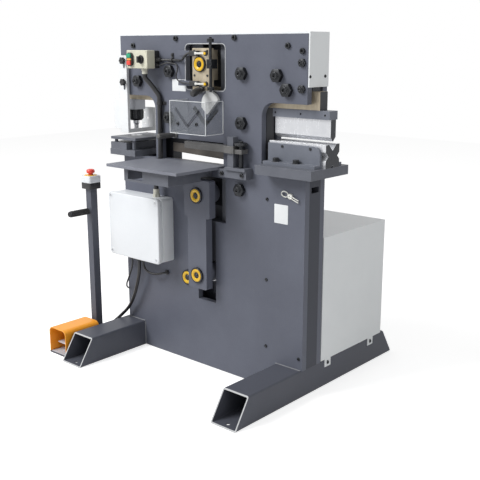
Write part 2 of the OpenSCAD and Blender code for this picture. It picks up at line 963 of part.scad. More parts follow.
module punch_holder() {
  shank_d = 30;
  nut_h = head_z - holder_z;
  color("#3f434b") at_frame()
    difference() {
      union() {
        block([punch_x - head_side / 2, -head_side / 2, head_z],
          [punch_x + head_side / 2, head_side / 2, ram_bottom]);
        translate([punch_x, 0, holder_z])
          rotate_extrude()
            polygon([[0, 0], [holder_d / 2 - 8, 0], [holder_d / 2, 8],
              [holder_d / 2, nut_h], [0, nut_h]]);
      }
      translate([punch_x, 0, holder_z - 1])
        cylinder(d = shank_d + seat_fit, h = nut_h / 2 + 1);
    }
}

module punch() {
  shank_d = 30;
  seat = (head_z - holder_z) / 2;
  land = 22;
  color("#c3c6cb") at_frame()
    translate([punch_x, 0, punch_tip_z])
      rotate_extrude()
        polygon([[0, 0], [punch_tip_d / 2, 0], [punch_tip_d / 2, land],
          [shank_d / 2, land + 8], [shank_d / 2, holder_z + seat - punch_tip_z],
          [0, holder_z + seat - punch_tip_z]]);
}

// Folded sheet guard: front strip and wing, open side frame and back plate
module punch_guard() {
  front = -guard_front - sheet;
  back = guard_back + sheet;
  side = strip_x[1] - sheet;
  slot_w = knob_stud_d + 0.6;
  hole_d = 10;
  color("#eef0f2") at_frame()
    difference() {
      union() {
        block([strip_x[0], front, strip_z[0]], [strip_x[1], front + sheet, strip_z[1]]);
        block([wing_x, front, wing_z[0]], [strip_x[0], front + sheet, wing_z[1]]);
        block([side, front, strip_z[0]], [strip_x[1], front + guard_stile, strip_z[1]]);
        block([side, front, strip_z[0]], [strip_x[1], back, strip_z[0] + guard_rail]);
        block([side, back - guard_stile, strip_z[0]], [strip_x[1], back, guard_back_z]);
        block([wing_x, back - sheet, strip_z[0]], [strip_x[1], back, guard_back_z]);
      }
      for (z = knob_zs)
        upright(front - 1, sheet + 2)
          translate([knob_x - slot_w / 2, z - guard_lift - slot_w / 2])
            capsule(slot_w, guard_lift + slot_w);
      for (p = [[-34, 83], [-34, 29], [-12, 57]])
        y_rod(punch_x + p[0], strip_z[0] + p[1], hole_d, back - sheet - 1, back + 1);
    }
}

// Star knob with its stud
module guard_knob(z) {
  front = -guard_front - sheet;
  lobes = 6;
  lobe_d = 12;
  color("#1f2023") at_frame()
    union() {
      y_rod(knob_x, z, knob_stud_d, front - 1, -plate_out + 9);
      y_rod(knob_x, z, knob_d - lobe_d, front - knob_t, front);
      for (k = [0:lobes - 1])
        y_rod(knob_x + (knob_d - lobe_d) / 2 * cos(360 * k / lobes),
          z + (knob_d - lobe_d) / 2 * sin(360 * k / lobes), lobe_d, front - knob_t, front - 6);
    }
}

module upper_guard_knob() {
  guard_knob(knob_zs[0]);
}

module lower_guard_knob() {
  guard_knob(knob_zs[1]);
}

// Bending station
module brake_table() {
  front = -plate_out - 75;
  back = plate_out + 48;
  color("#565960") at_frame()
    block([brake_x, front, throat_bottom], [brake_x + brake_len, back, brake_table_top]);
}

// Four-way die: one vee in each long face
module vee_die() {
  h = die_side / 2;
  vees = [die_top_vee, 36, 20, 28];
  color("#b9bdc3") at_frame()
    along(brake_x, brake_len)
      translate([0, brake_table_top + h])
        difference() {
          square(die_side, center = true);
          for (k = [0:3])
            rotate(90 * k)
              polygon([[-vees[k] / 2, h], [vees[k] / 2, h], [0, h - vees[k] / 2]]);
        }
}

// Angle brackets that clamp the die from both sides
module die_bracket(side) {
  l = brake_len - 22;
  t = 12;
  foot_w = 46;
  h = die_side - 8;
  corner = 30;
  mirror([0, side, 0]) {
    upright(-die_side / 2 - t, t)
      translate([brake_x + 2, brake_table_top]) {
        square([l, h - corner]);
        square([l - corner, h]);
        translate([l - corner, h - corner])
          circle(corner);
      }
    block([brake_x + 2, -die_side / 2 - foot_w, brake_table_top],
      [brake_x + 2 + l, -die_side / 2 - t, brake_table_top + t]);
  }
}

module die_brackets() {
  color("#6a6d75") at_frame() {
    die_bracket(0);
    die_bracket(1);
  }
}

module brake_holder() {
  screw_d = 9;
  color("#5f626a") at_frame()
    difference() {
      block([brake_x, -clamp_w / 2, ram_bottom - clamp_h],
        [brake_x + brake_len, clamp_w / 2, ram_bottom]);
      for (x = [12, brake_len / 2, brake_len - 22])
        y_rod(brake_x + x, ram_bottom - clamp_h / 2, screw_d, -clamp_w / 2 - 1, -clamp_w / 2 + 10);
    }
}

module brake_punch() {
  top = ram_bottom - clamp_h;
  h = blade_t / 2;
  color("#d5d8dc") at_frame()
    along(brake_x + 5, brake_len - 5)
      polygon([[0, blade_tip_z], [h, blade_tip_z + h], [h, top], [-h, top],
        [-h, blade_tip_z + h]]);
}

// Angle station: clear box with the bar's chevron cut in its face
module angle_guard() {
  front = -plate_out - guard_depth;
  w = guard_x[1] - guard_x[0];
  h = guard_z[1] - guard_z[0];
  flange = 16;
  color("#c9d2d8", 0.5) at_frame() {
    upright(front, guard_wall)
      difference() {
        translate([guard_x[0], guard_z[0]])
          square([w, h]);
        vee_band(guard_slot_w, guard_slot_vertex, vee_reach);
      }
    for (x = [guard_x[0], guard_x[1] - guard_wall])
      block([x, front + guard_wall, guard_z[0]], [x + guard_wall, -plate_out, guard_z[1]]);
    block([guard_x[0] + guard_wall, front + guard_wall, guard_z[0]],
      [guard_x[1] - guard_wall, front + guard_wall + flange, guard_z[0] + guard_wall]);
  }
}

// Flat bar station
module shear_table() {
  notch = [conduit_route[8][0] - 23, conduit_route[8][0] + 19];
  notch_l = 32;
  color("#5a5d64") at_frame()
    difference() {
      block([shear_x, -plate_out - shear_table_l, shear_z - shear_table_t],
        [shear_x + shear_table_w, -plate_out, shear_z]);
      block([notch[0], -plate_out - notch_l, shear_z - shear_table_t - 1],
        [notch[1], -plate_out + 1, shear_z + 1]);
    }
}

module table_support() {
  top = shear_z - shear_table_t;
  low = top - support_h;
  front = -plate_out - support_l;
  window = [[24, 118], [9, 49]];
  link_room = link_off + link_t + 6;
  color("#5c5f66") at_frame() {
    difference() {
      block([support_x[0], front, low], [support_x[1], front + support_t, top]);
      block([support_x[0] + window[0][0], front - 1, low + window[1][0]],
        [support_x[0] + window[0][1], front + support_t + 1, low + window[1][1]]);
    }
    for (x = [support_x[0], support_x[1] - support_t])
      difference() {
        block([x, front + support_t, low], [x + support_t, -plate_out, top]);
        block([x - 1, -plate_out - link_room, low - 1], [x + support_t + 1, -plate_out + 1, low + 18]);
      }
  }
}

module hold_down_frame() {
  bracket_x = [111, 267];
  bracket_h = 34;
  base_t = 12;
  back = -plate_out;
  base_low = hold_base_z - base_t;
  color("#50535a") at_frame() {
    block([bracket_x[0], back - 40, base_low - bracket_h], [bracket_x[1], back, base_low]);
    difference() {
      block([post_x - 12, back - 50, base_low], [bracket_x[1], back, hold_base_z]);
      translate([hold_screw_x, hold_y + hold_post / 2, base_low + 2])
        cylinder(d = hold_screw_d + running_fit, h = base_t);
    }
    block([post_x, hold_y, hold_base_z], [post_x + hold_post, hold_y + hold_post, hold_base_z + hold_post_h]);
  }
}

module hold_down_bar() {
  bar_x = -90;
  bar_w = 26;
  wall = 10;
  mid = hold_y + hold_post / 2;
  sleeve = hold_post / 2 + wall;
  ear = 20;
  color("#8b8d8c") at_frame()
    difference() {
      union() {
        block([bar_x, mid - bar_w / 2, hold_bar_z], [post_x - 1, mid + bar_w / 2, hold_bar_z + hold_bar_h]);
        block([post_x - wall, mid - sleeve, hold_bar_z],
          [post_x + hold_post + wall, mid + sleeve, hold_bar_z + hold_bar_h]);
        block([post_x + hold_post, mid - ear, hold_bar_z],
          [hold_screw_x + ear, mid + ear, hold_bar_z + hold_ear_h]);
      }
      block([post_x - hold_fit, hold_y - hold_fit, hold_bar_z - 1],
        [post_x + hold_post + hold_fit, hold_y + hold_post + hold_fit, hold_bar_z + hold_bar_h + 1]);
      translate([hold_screw_x, mid, hold_bar_z - 1])
        cylinder(d = hold_screw_d + running_fit, h = hold_bar_h + 2);
    }
}

module hold_down_screw() {
  foot = hold_base_z - 10;
  wheel_d = 54;
  wheel_t = 14;
  wheel_z = hold_bar_z + hold_bar_h + 2;
  color("#2b2c30") at_frame()
    translate([hold_screw_x, hold_y + hold_post / 2, 0])
      rotate_extrude()
        polygon([[0, foot], [hold_screw_d / 2, foot], [hold_screw_d / 2, wheel_z],
          [wheel_d / 2 - 3, wheel_z], [wheel_d / 2, wheel_z + 3],
          [wheel_d / 2, wheel_z + wheel_t - 3], [wheel_d / 2 - 3, wheel_z + wheel_t],
          [10, wheel_z + wheel_t], [10, wheel_z + wheel_t + 6], [0, wheel_z + wheel_t + 6]]);
}

module front_handle() {
  x = conduit_route[7][0] + 85;
  z = throat_bottom + 116;
  l = 110;
  color("#6f7379") at_frame()
    translate([x, -plate_out, z])
      rotate([90, 0, 0])
        rotate_extrude()
          polygon([[0, 0], [16, 0], [16, 6], [9, 8], [9, 22], [12, 26], [12, l - 4],
            [8, l], [0, l]]);
}

// Switches in front of the window
module limit_switches() {
  t = 3;
  foot_x = [-155, -125];
  arm_y = -switch_front + switch_t;
  pin_d = 5;
  color("#d6d4c8") at_frame()
    for (z = switch_zs) {
      block([foot_x[0], -plate_out - t, z - switch_h / 2], [foot_x[1], -plate_out, z + switch_h / 2]);
      block([foot_x[1] - t, arm_y, z - switch_h / 2], [foot_x[1], -plate_out - t, z + switch_h / 2]);
      block([foot_x[1], arm_y, z - switch_h / 2], [switch_x + switch_w, arm_y + t, z + switch_h / 2]);
      difference() {
        block([switch_x, -switch_front, z - switch_h / 2], [switch_x + switch_w, arm_y, z + switch_h / 2]);
        y_rod(switch_x + lever_pivot, z, pin_d + running_fit, -switch_front - 1, -switch_front + 10);
      }
    }
}

module switch_lever(z) {
  pin_d = 5;
  t = 3;
  arm_h = 8;
  hub_d = 12;
  roller_w = 9;
  pivot = switch_x + lever_pivot;
  front = -switch_front - t - 0.3;
  at_frame()
    union() {
      y_rod(pivot, z, pin_d, front, -switch_front + 9);
      y_rod(pivot, z, hub_d, front, front + t);
      block([pivot, front, z - arm_h / 2], [pivot + lever_len, front + t, z + arm_h / 2]);
      y_rod(pivot + lever_len, z, roller_d, front + t, front + t + roller_w);
      y_rod(pivot + lever_len, z, hub_d, front, front + t + 1);
    }
}

module upper_switch_lever() {
  color("#d9b32a") switch_lever(switch_zs[0]);
}

module lower_switch_lever() {
  color("#d9b32a") switch_lever(switch_zs[1]);
}

// Switch box: pale lid on a dark base, with an oval bezel for the two buttons
module control_box() {
  front = -plate_out - box_d;
  split = -plate_out - box_split;
  inset = 2;
  corner = 5;
  lens_h = 9;
  lens_stand = 3;
  color("#d5d3bd") at_frame() {
    difference() {
      union() {
        upright(front, box_d - box_split)
          translate([box_x, box_z])
            round_rect(box_w, box_h, corner);
        upright(front - bezel_t, bezel_t)
          translate([button_x - bezel_w / 2, button_z - bezel_h / 2])
            capsule(bezel_w, bezel_h);
      }
      block([button_x - button_w / 2 - 0.4, front - bezel_t - 1, button_z - button_pocket / 2],
        [button_x + button_w / 2 + 0.4, front - 2, button_z + button_pocket / 2]);
      y_rod(selector_x, button_z, spindle_d + running_fit, front - 1, front + 20);
    }
    block([button_x - button_w / 2, front - bezel_t - lens_stand, button_z - lens_h / 2],
      [button_x + button_w / 2, front - 2, button_z + lens_h / 2]);
    block([box_x + inset, split, box_z + inset], [box_x + box_w - inset, -plate_out, box_z + box_h - inset]);
  }
}

module push_button(z) {
  front = -plate_out - box_d - bezel_t - button_stand;
  at_frame()
    block([button_x - button_w / 2, front, z - button_h / 2],
      [button_x + button_w / 2, front + button_t, z + button_h / 2]);
}

module start_button() {
  color("#178a5a") push_button(button_z + button_pocket / 2 - button_h / 2 - 0.6);
}

module stop_button() {
  color("#d8342c") push_button(button_z - button_pocket / 2 + button_h / 2 + 0.6);
}

module selector_knob() {
  front = -plate_out - box_d;
  t = 10;
  grip_t = 14;
  grip_w = 9;
  color("#232428") at_frame()
    union() {
      y_rod(selector_x, button_z, spindle_d, front - t - 1, front + 18);
      y_rod(selector_x, button_z, selector_d, front - t, front);
      block([selector_x - grip_w / 2, front - t - grip_t, button_z - selector_d / 2 + 1],
        [selector_x + grip_w / 2, front - t + 1, button_z + selector_d / 2 - 1]);
    }
}

// Electrical enclosure: a box on the plate and a lid with corner screws
module enclosure_base() {
  front = -plate_out - enclosure_d + lid_d;
  r = 10;
  color("#e9ecef") at_frame()
    difference() {
      upright(front, enclosure_d - lid_d)
        translate([enclosure_x + 3, enclosure_z + 3])
          round_rect(enclosure_w - 6, enclosure_h - 6, r);
      upright(front - 1, enclosure_d - lid_d - enclosure_wall + 1)
        translate([enclosure_x + 3 + enclosure_wall, enclosure_z + 3 + enclosure_wall])
          round_rect(enclosure_w - 6 - 2 * enclosure_wall, enclosure_h - 6 - 2 * enclosure_wall, r / 2);
    }
}

module enclosure_lid() {
  front = -plate_out - enclosure_d;
  r = 12;
  screw_d = 14;
  inset = 16;
  color("#f2f4f6") at_frame()
    difference() {
      upright(front, lid_d)
        translate([enclosure_x, enclosure_z])
          round_rect(enclosure_w, enclosure_h, r);
      upright(front + enclosure_wall, lid_d)
        translate([enclosure_x + 30, enclosure_z + 30])
          round_rect(enclosure_w - 60, enclosure_h - 60, r);
      for (x = [inset, enclosure_w - inset])
        for (z = [inset, enclosure_h - inset])
          y_rod(enclosure_x + x, enclosure_z + z, screw_d, front - 1, front + 6);
    }
}

// Glands, clips and the grommet that hold the cables
module gland(d, h) {
  cylinder(d = d * 1.25, h = h * 0.4, $fn = 6);
  cylinder(d = d, h = h);
}

module cable_fittings() {
  box_side = box_x + box_w;
  base_low = enclosure_z + 3;
  base_top = enclosure_z + enclosure_h - 3;
  tab_t = 3;
  screw_af = 10;
  color("#55575c") at_frame() {
    // Pale gland under the switch box and its lead's gland on the side
    translate([conduit_route[0][0], conduit_route[0][1], box_z])
      rotate([180, 0, 0])
        gland(26, box_z - conduit_route[0][2]);
    translate([box_side - 2, lead_route[0][1], lead_route[0][2]])
      rotate([0, 90, 0])
        gland(18, lead_route[0][0] - box_side + 2);
    translate([box_side - 2, branch_route[0][1], branch_route[0][2]])
      rotate([0, 90, 0])
        gland(11, branch_route[0][0] - box_side + 2);
    // Glands of the enclosure
    translate([last(conduit_route)[0], last(conduit_route)[1], base_top])
      gland(28, last(conduit_route)[2] - base_top);
    for (p = [[supply_route[0], 16], [pedal_cable_route[0], 26], [motor_cable_route[0], 20]])
      translate([p[0][0], p[0][1], base_low])
        rotate([180, 0, 0])
          gland(p[1], base_low - p[0][2]);
    // Grommet where the motor's cable enters the frame
    y_rod(last(motor_cable_route)[0], last(motor_cable_route)[2], 22,
      last(motor_cable_route)[1], -plate_out);
    // Conduit clip and lead clip, each with a tab on the plate
    difference() {
      union() {
        translate(conduit_clip)
          cylinder(d = conduit_d + 6, h = clip_w);
        block([conduit_clip[0], -plate_out - tab_t, conduit_clip[2]],
          [conduit_clip[0] + 30, -plate_out, conduit_clip[2] + clip_w]);
        y_hex(conduit_clip[0] + 21, conduit_clip[2] + clip_w / 2, screw_af, -plate_out - 8, -plate_out - 2);
      }
      translate(conduit_clip - [0, 0, 1])
        cylinder(d = conduit_d + 0.6, h = clip_w + 2);
    }
    difference() {
      union() {
        x_rod(lead_clip[1], lead_clip[2], lead_d + 6, lead_clip[0], lead_clip[0] + 12);
        block([lead_clip[0], -plate_out - tab_t, lead_clip[2]],
          [lead_clip[0] + 12, -plate_out, lead_clip[2] + 30]);
        y_hex(lead_clip[0] + 6, lead_clip[2] + 22, screw_af, -plate_out - 8, -plate_out - 2);
      }
      x_rod(lead_clip[1], lead_clip[2], lead_d + 0.8, lead_clip[0] - 1, lead_clip[0] + 13);
    }
  }
}

module switch_cables() {
  color("#232428") at_frame() {
    tube(conduit_route, conduit_d, [1, 0, 0]);
    tube(lead_route, lead_d, [0, 0, 1], 8);
    tube(branch_route, thin_lead_d, [0, 1, 0.3], 8);
    tube(supply_route, supply_d, [0.5, -0.3, 1], 8);
  }
}

module pedal_cable() {
  color("#1d1e20") at_frame()
    tube(pedal_cable_route, pedal_cable_d, [1, 0, 0]);
}

module motor_cable() {
  color("#1d1e20") at_frame()
    tube(motor_cable_route, motor_cable_d, [0.5, 0.3, 1]);
}

// Power unit: sheet cover over a tank, pump and motor on a tray
module power_cover() {
  low = skid_h;
  tab_w = 44;
  tab_h = 36;
  slot_w = 12;
  x0 = cover_x - cover_w;
  skid_side = right_skid_x + skid_w / 2;
  color("#e3e6e8") at_frame() {
    difference() {
      block([x0, cover_y, low], [cover_x, cover_y + cover_l, low + cover_h]);
      block([x0 + cover_sheet, cover_y + cover_sheet, low - 1],
        [cover_x - cover_sheet, cover_y + cover_l - cover_sheet, low + cover_h - cover_sheet]);
      block([x0 + tray_inset, cover_y - 1, low - 1],
        [cover_x - tray_inset, cover_y + cover_sheet + 1, low + tray_t]);
    }
    for (y = [cover_y + 30, cover_y + cover_l - 110])
      difference() {
        block([skid_side, y, low - tab_h], [cover_x, y + tab_w, low]);
        block([skid_side - 1, y + tab_w / 2 - slot_w / 2, low - tab_h + 8],
          [cover_x + 1, y + tab_w / 2 + slot_w / 2, low - 8]);
      }
  }
}

module power_pack() {
  x0 = cover_x - cover_w + tray_inset;
  x1 = cover_x - tray_inset;
  y0 = cover_y + tray_inset;
  y1 = cover_y + cover_l - tray_inset;
  tank_z = skid_h + tray_t;
  tank_h = 230;
  flange_h = 100;
  motor_d = 190;
  motor_h = 210;
  color("#6c7076") at_frame() {
    block([x0, plate_out, skid_h], [x1, y1, tank_z]);
    block([x0, plate_out, tank_z], [x1, plate_out + tray_t, tank_z + flange_h]);
    block([x0 + 40, y0 + 30, tank_z], [x1 - 40, y1 - 20, tank_z + tank_h]);
    translate([x1 - 190, y0 + 200, tank_z + tank_h])
      cylinder(d = motor_d, h = motor_h * 0.9);
    block([x0 + 90, y0 + 110, tank_z + tank_h], [x0 + 190, y0 + 290, tank_z + tank_h + 110]);
  }
}

// Pedal stand
module pedal_stand() {
  half = post_side / 2;
  grip_y = stand_y - half;
  color("#5b5e65") at_frame() {
    block([stand_x - hood_w / 2, stand_front, 0], [stand_x + hood_w / 2, stand_back, stand_plate_t]);
    difference() {
      block([stand_x - half, stand_y - half, stand_plate_t], [stand_x + half, stand_y + half, post_top]);
      block([stand_x - half + post_wall, stand_y - half + post_wall, stand_plate_t - 1],
        [stand_x + half - post_wall, stand_y + half - post_wall, post_top + 1]);
    }
    translate([stand_x, grip_y, grip_z])
      rotate([90, 0, 0])
        rotate_extrude()
          polygon([[0, 0], [grip_d / 2 + 3, 0], [grip_d / 2 + 3, 5], [grip_d / 2, 6],
            [grip_d / 2, grip_l - 4], [grip_d / 2 - 4, grip_l], [0, grip_l]]);
  }
}

// Arched guard over the pedal, open to the front
module pedal_hood() {
  low = stand_plate_t;
  depth = hood_back - stand_front - 2;
  inner_w = hood_w - 2 * hood_wall;
  end = last(pedal_cable_route);
  color("#e8821e") at_frame()
    difference() {
      union() {
        difference() {
          upright(stand_front + 2, depth)
            translate([stand_x - hood_w / 2, low]) {
              square([hood_w, hood_h / 2]);
              round_rect(hood_w, hood_h, hood_r);
            }
          upright(stand_front + 1, depth - hood_wall)
            translate([stand_x - inner_w / 2, low - 1]) {
              square([inner_w, hood_h / 2]);
              round_rect(inner_w, hood_h - hood_wall + 1, hood_r - hood_wall);
            }
        }
        translate([end[0], hood_back, end[2]])
          rotate([-90, 0, 0])
            cylinder(d = pedal_cable_d + 8, h = end[1] - hood_back);
      }
      x_rod(pedal_pivot_y, pedal_pivot_z, pedal_pin_d + running_fit,
        stand_x - hood_w / 2 - 1, stand_x + hood_w / 2 + 1);
    }
}

// Foot lever on its cross pin
module pedal_lever() {
  tread_t = 8;
  front = pedal_pivot_y - pedal_l;
  color("#c2c5c9") at_frame()
    union() {
      x_rod(pedal_pivot_y, pedal_pivot_z, pedal_pin_d,
        stand_x - hood_w / 2 + 1, stand_x + hood_w / 2 - 1);
      x_rod(pedal_pivot_y, pedal_pivot_z, pedal_pin_d * 2, stand_x - pedal_w / 2, stand_x + pedal_w / 2);
      along(stand_x - pedal_w / 2, pedal_w)
        polygon([[pedal_pivot_y, pedal_pivot_z - tread_t / 2], [pedal_pivot_y, pedal_pivot_z + tread_t / 2],
          [front, pedal_pivot_z + tread_t], [front - 6, pedal_pivot_z + tread_t - 4],
          [front, pedal_pivot_z]]);
    }
}

// Stop station on the post: dark base, pale lid and a collar round the mushroom
module stop_station() {
  collar_d = 60;
  collar_t = 3;
  lid_low = post_top + station_base_h;
  lid_top = lid_low + station_lid_h;
  color("#eceef0") at_frame()
    translate([stand_x - station_side / 2, stand_y - station_side / 2, 0])
      difference() {
        union() {
          translate([1, 1, post_top])
            linear_extrude(station_base_h)
              round_rect(station_side - 2, station_side - 2, station_r - 2);
          translate([0, 0, lid_low])
            linear_extrude(station_lid_h)
              round_rect(station_side, station_side, station_r);
          translate([station_side / 2, station_side / 2, lid_top])
            cylinder(d = collar_d, h = collar_t);
        }
        translate([station_side / 2, station_side / 2, lid_low])
          cylinder(d = mushroom_stem_d + running_fit, h = station_lid_h + collar_t + 1);
      }
}

module stop_mushroom() {
  base = post_top + station_base_h + station_lid_h + 3;
  rise = 9;
  cap_h = 18;
  r = mushroom_d / 2;
  stem = 24;
  color("#d9342b") at_frame()
    translate([stand_x, stand_y, base])
      rotate_extrude()
        polygon([[0, -stem], [mushroom_stem_d / 2, -stem], [mushroom_stem_d / 2, rise],
          [r - 2, rise], [r, rise + 3], [r, rise + cap_h - 7], [r - 3, rise + cap_h - 2],
          [r - 9, rise + cap_h], [0, rise + cap_h]]);
}

front_plate();
rear_plate();
frame_spacers();
left_skid();
right_skid();
top_cover();
guide_adjusters();
guide_pads();
cylinder_barrel();
power_cover();
power_pack();
control_box();
enclosure_base();
enclosure_lid();
cable_fittings();
switch_cables();
limit_switches();
punch_bolster();
die_holder();
punch_die();
punch_table();
brake_table();
vee_die();
die_brackets();
angle_guard();
fixed_blades();
shear_table();
table_support();
hold_down_frame();
anchor_pin();
front_handle();
ram_plate();
ram_boss();
punch_holder();
punch();
brake_holder();
brake_punch();
moving_blades();
tie_links();
link_pins();
piston_rod();
trip_rod();
angle_hold_down();
start_button();
stop_button();
selector_knob();
upper_switch_lever();
lower_switch_lever();
punch_guard();
upper_guard_knob();
lower_guard_knob();
hold_down_bar();
hold_down_screw();
pedal_stand();
pedal_hood();
pedal_lever();
stop_station();
stop_mushroom();
pedal_cable();
motor_cable();
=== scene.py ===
from math import cos, pi, radians, sin, tan, tau

import bmesh
import bpy
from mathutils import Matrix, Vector


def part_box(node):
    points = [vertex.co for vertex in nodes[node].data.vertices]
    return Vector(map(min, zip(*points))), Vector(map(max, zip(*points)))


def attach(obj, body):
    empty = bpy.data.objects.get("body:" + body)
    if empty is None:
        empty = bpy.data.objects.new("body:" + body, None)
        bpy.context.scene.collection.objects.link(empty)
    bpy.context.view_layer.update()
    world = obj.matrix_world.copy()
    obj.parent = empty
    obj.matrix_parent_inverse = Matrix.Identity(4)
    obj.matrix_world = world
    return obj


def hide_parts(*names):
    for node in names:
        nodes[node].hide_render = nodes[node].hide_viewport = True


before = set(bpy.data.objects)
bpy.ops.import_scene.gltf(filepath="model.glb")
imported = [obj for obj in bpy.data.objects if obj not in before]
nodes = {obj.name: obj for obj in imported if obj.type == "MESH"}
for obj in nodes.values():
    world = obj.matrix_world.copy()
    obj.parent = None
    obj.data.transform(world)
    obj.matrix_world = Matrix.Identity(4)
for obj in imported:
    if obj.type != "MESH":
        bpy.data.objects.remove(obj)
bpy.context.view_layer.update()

scene = bpy.context.scene


# Studio: a pale seamless floor under an even sky, one large soft lamp ahead on the left
# and a weaker one on the right, seen from where the photograph was taken.
scene.view_settings.view_transform = "Standard"
VIEW_LENS, VIEW_SENSOR = 59.57, 36.0
VIEW_PLACE = (2.4428, -2.6664, 1.4510)
VIEW_AZIMUTH, VIEW_ELEVATION = radians(41.31), radians(13.68)
PAPER, PAPER_GLOW = (0.8, 0.8, 0.8, 1), 0.65
SKY_LIGHT = 0.36
FLOOR_REACH = 9.0
LAMPS = {
    "key_lamp": ((-2.0, -3.5, 4.4), 262.0, 2.6),
    "side_lamp": ((4.5, -1.4, 2.8), 29.0, 2.4),
}
AIM = Vector((0, 0, 0.8))


def add_node(tree, kind, inputs=(), **settings):
    """Adds a node whose inputs are values or the sockets that feed them; shader kinds are short."""
    made = tree.nodes.new(kind if "Node" in kind else "ShaderNode" + kind)
    for name, value in settings.items():
        setattr(made, name, value)
    for key, value in dict(inputs).items():
        if isinstance(value, bpy.types.NodeSocket):
            tree.links.new(value, made.inputs[key])
        else:
            made.inputs[key].default_value = value
    return made


def maths(tree, operation, *values):
    return add_node(tree, "Math", dict(enumerate(values)), operation=operation).outputs[0]


def remap(tree, value, source=(0, 1), target=(0, 1)):
    return add_node(tree, "MapRange", {
        "Value": value, "From Min": source[0], "From Max": source[1],
        "To Min": target[0], "To Max": target[1],
    }).outputs["Result"]


def seen_rays(tree):
    """1 for the rays that show the background: straight, mirrored or through something clear."""
    path = add_node(tree, "LightPath").outputs
    mirrored = maths(tree, "MAXIMUM", path["Is Camera Ray"], path["Is Glossy Ray"])
    return maths(tree, "MAXIMUM", mirrored, path["Is Transmission Ray"])


def set_up(thing, place, view):
    """Puts a lamp or the camera in its place, turned to look along a direction."""
    thing.location = place
    thing.rotation_mode = "QUATERNION"
    thing.rotation_quaternion = view.to_track_quat("-Z", "Y")
    scene.collection.objects.link(thing)


camera = bpy.data.objects.new("studio_camera", bpy.data.cameras.new("studio_camera"))
camera.data.lens, camera.data.sensor_width = VIEW_LENS, VIEW_SENSOR
set_up(camera, VIEW_PLACE, -Vector((
    sin(VIEW_AZIMUTH) * cos(VIEW_ELEVATION),
    -cos(VIEW_AZIMUTH) * cos(VIEW_ELEVATION),
    sin(VIEW_ELEVATION),
)))
scene.camera = camera
for name, (place, power, size) in LAMPS.items():
    lamp = bpy.data.objects.new(name, bpy.data.lights.new(name, "AREA"))
    lamp.data.energy, lamp.data.size = power, size
    set_up(lamp, place, AIM - Vector(place))

scene.world = bpy.data.worlds.new("studio_sky")
scene.world.use_nodes = True
sky = scene.world.node_tree
sky.nodes["Background"].inputs["Color"].default_value = (1, 1, 1, 1)
sky_level = remap(sky, seen_rays(sky), target=(SKY_LIGHT, 1))
sky.links.new(sky_level, sky.nodes["Background"].inputs["Strength"])

paper = bpy.data.materials.new("studio_paper")
paper.use_nodes = True
sheet = paper.node_tree
sheet.nodes.clear()
glow = remap(sheet, seen_rays(sheet), target=(0, PAPER_GLOW))
lit = add_node(sheet, "AddShader", {
    0: add_node(sheet, "BsdfDiffuse", {"Color": PAPER}).outputs[0],
    1: add_node(sheet, "Emission", {"Strength": glow}).outputs[0],
})
add_node(sheet, "OutputMaterial", {"Surface": lit.outputs[0]})
floor_mesh = bpy.data.meshes.new("studio_floor")
floor_mesh.from_pydata(
    [(x * FLOOR_REACH, y * FLOOR_REACH, 0) for x, y in ((-1, -1), (1, -1), (1, 1), (-1, 1))],
    [], [(0, 1, 2, 3)],
)
floor_mesh.materials.append(paper)
floor = bpy.data.objects.new("studio_floor", floor_mesh)
scene.collection.objects.link(floor)


# Free cables: the foot pedal's lead hangs from the enclosure and passes over the left skid into
# the back of the pedal's hood; the motor's lead loops from its gland into the frame.
# Both are black rubber leads, drawn as one smooth curve each.
PEDAL_LEAD_D, MOTOR_LEAD_D = 16, 10.5
PEDAL_LEAD = [
    (-401, -117, 452), (-401, -117, 430), (-407, -114, 395), (-424, -108, 350), (-446, -102, 300),
    (-471, -98, 250), (-500, -95, 206), (-530, -95, 171), (-561, -102, 139), (-583, -118, 113),
    (-597, -140, 94), (-602, -167, 79), (-602, -189, 72), (-602, -208, 68), (-602, -221, 68),
]
MOTOR_LEAD = [
    (-371, -117, 452), (-370.4, -117, 437), (-363, -116, 418.6), (-346, -112, 404.6), (-320, -106, 398.4),
    (-293, -98.4, 400), (-271, -88.8, 405.4), (-261, -81, 408.2), (-256.6, -73, 409),
]
RUBBER = ((0.006, 0.006, 0.007), (0.014, 0.014, 0.016))
TONE_SPAN, GRAIN_SHARE, GRAIN_DEPTH = (0.34, 0.66), 0.3, 0.0004
EDGE_SOFT, EDGE_TURN, WEAR_PATCHES = 0.0012, (0.99, 0.86), (0.38, 0.6)
centre = sum(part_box("frame_spacers"), Vector()) / 2


def at(x, y, z):
    """A place on the machine, in mm from its centre line, the plates' mid-plane and the floor."""
    return Vector((centre.x + x / 1000, centre.y + y / 1000, z / 1000))


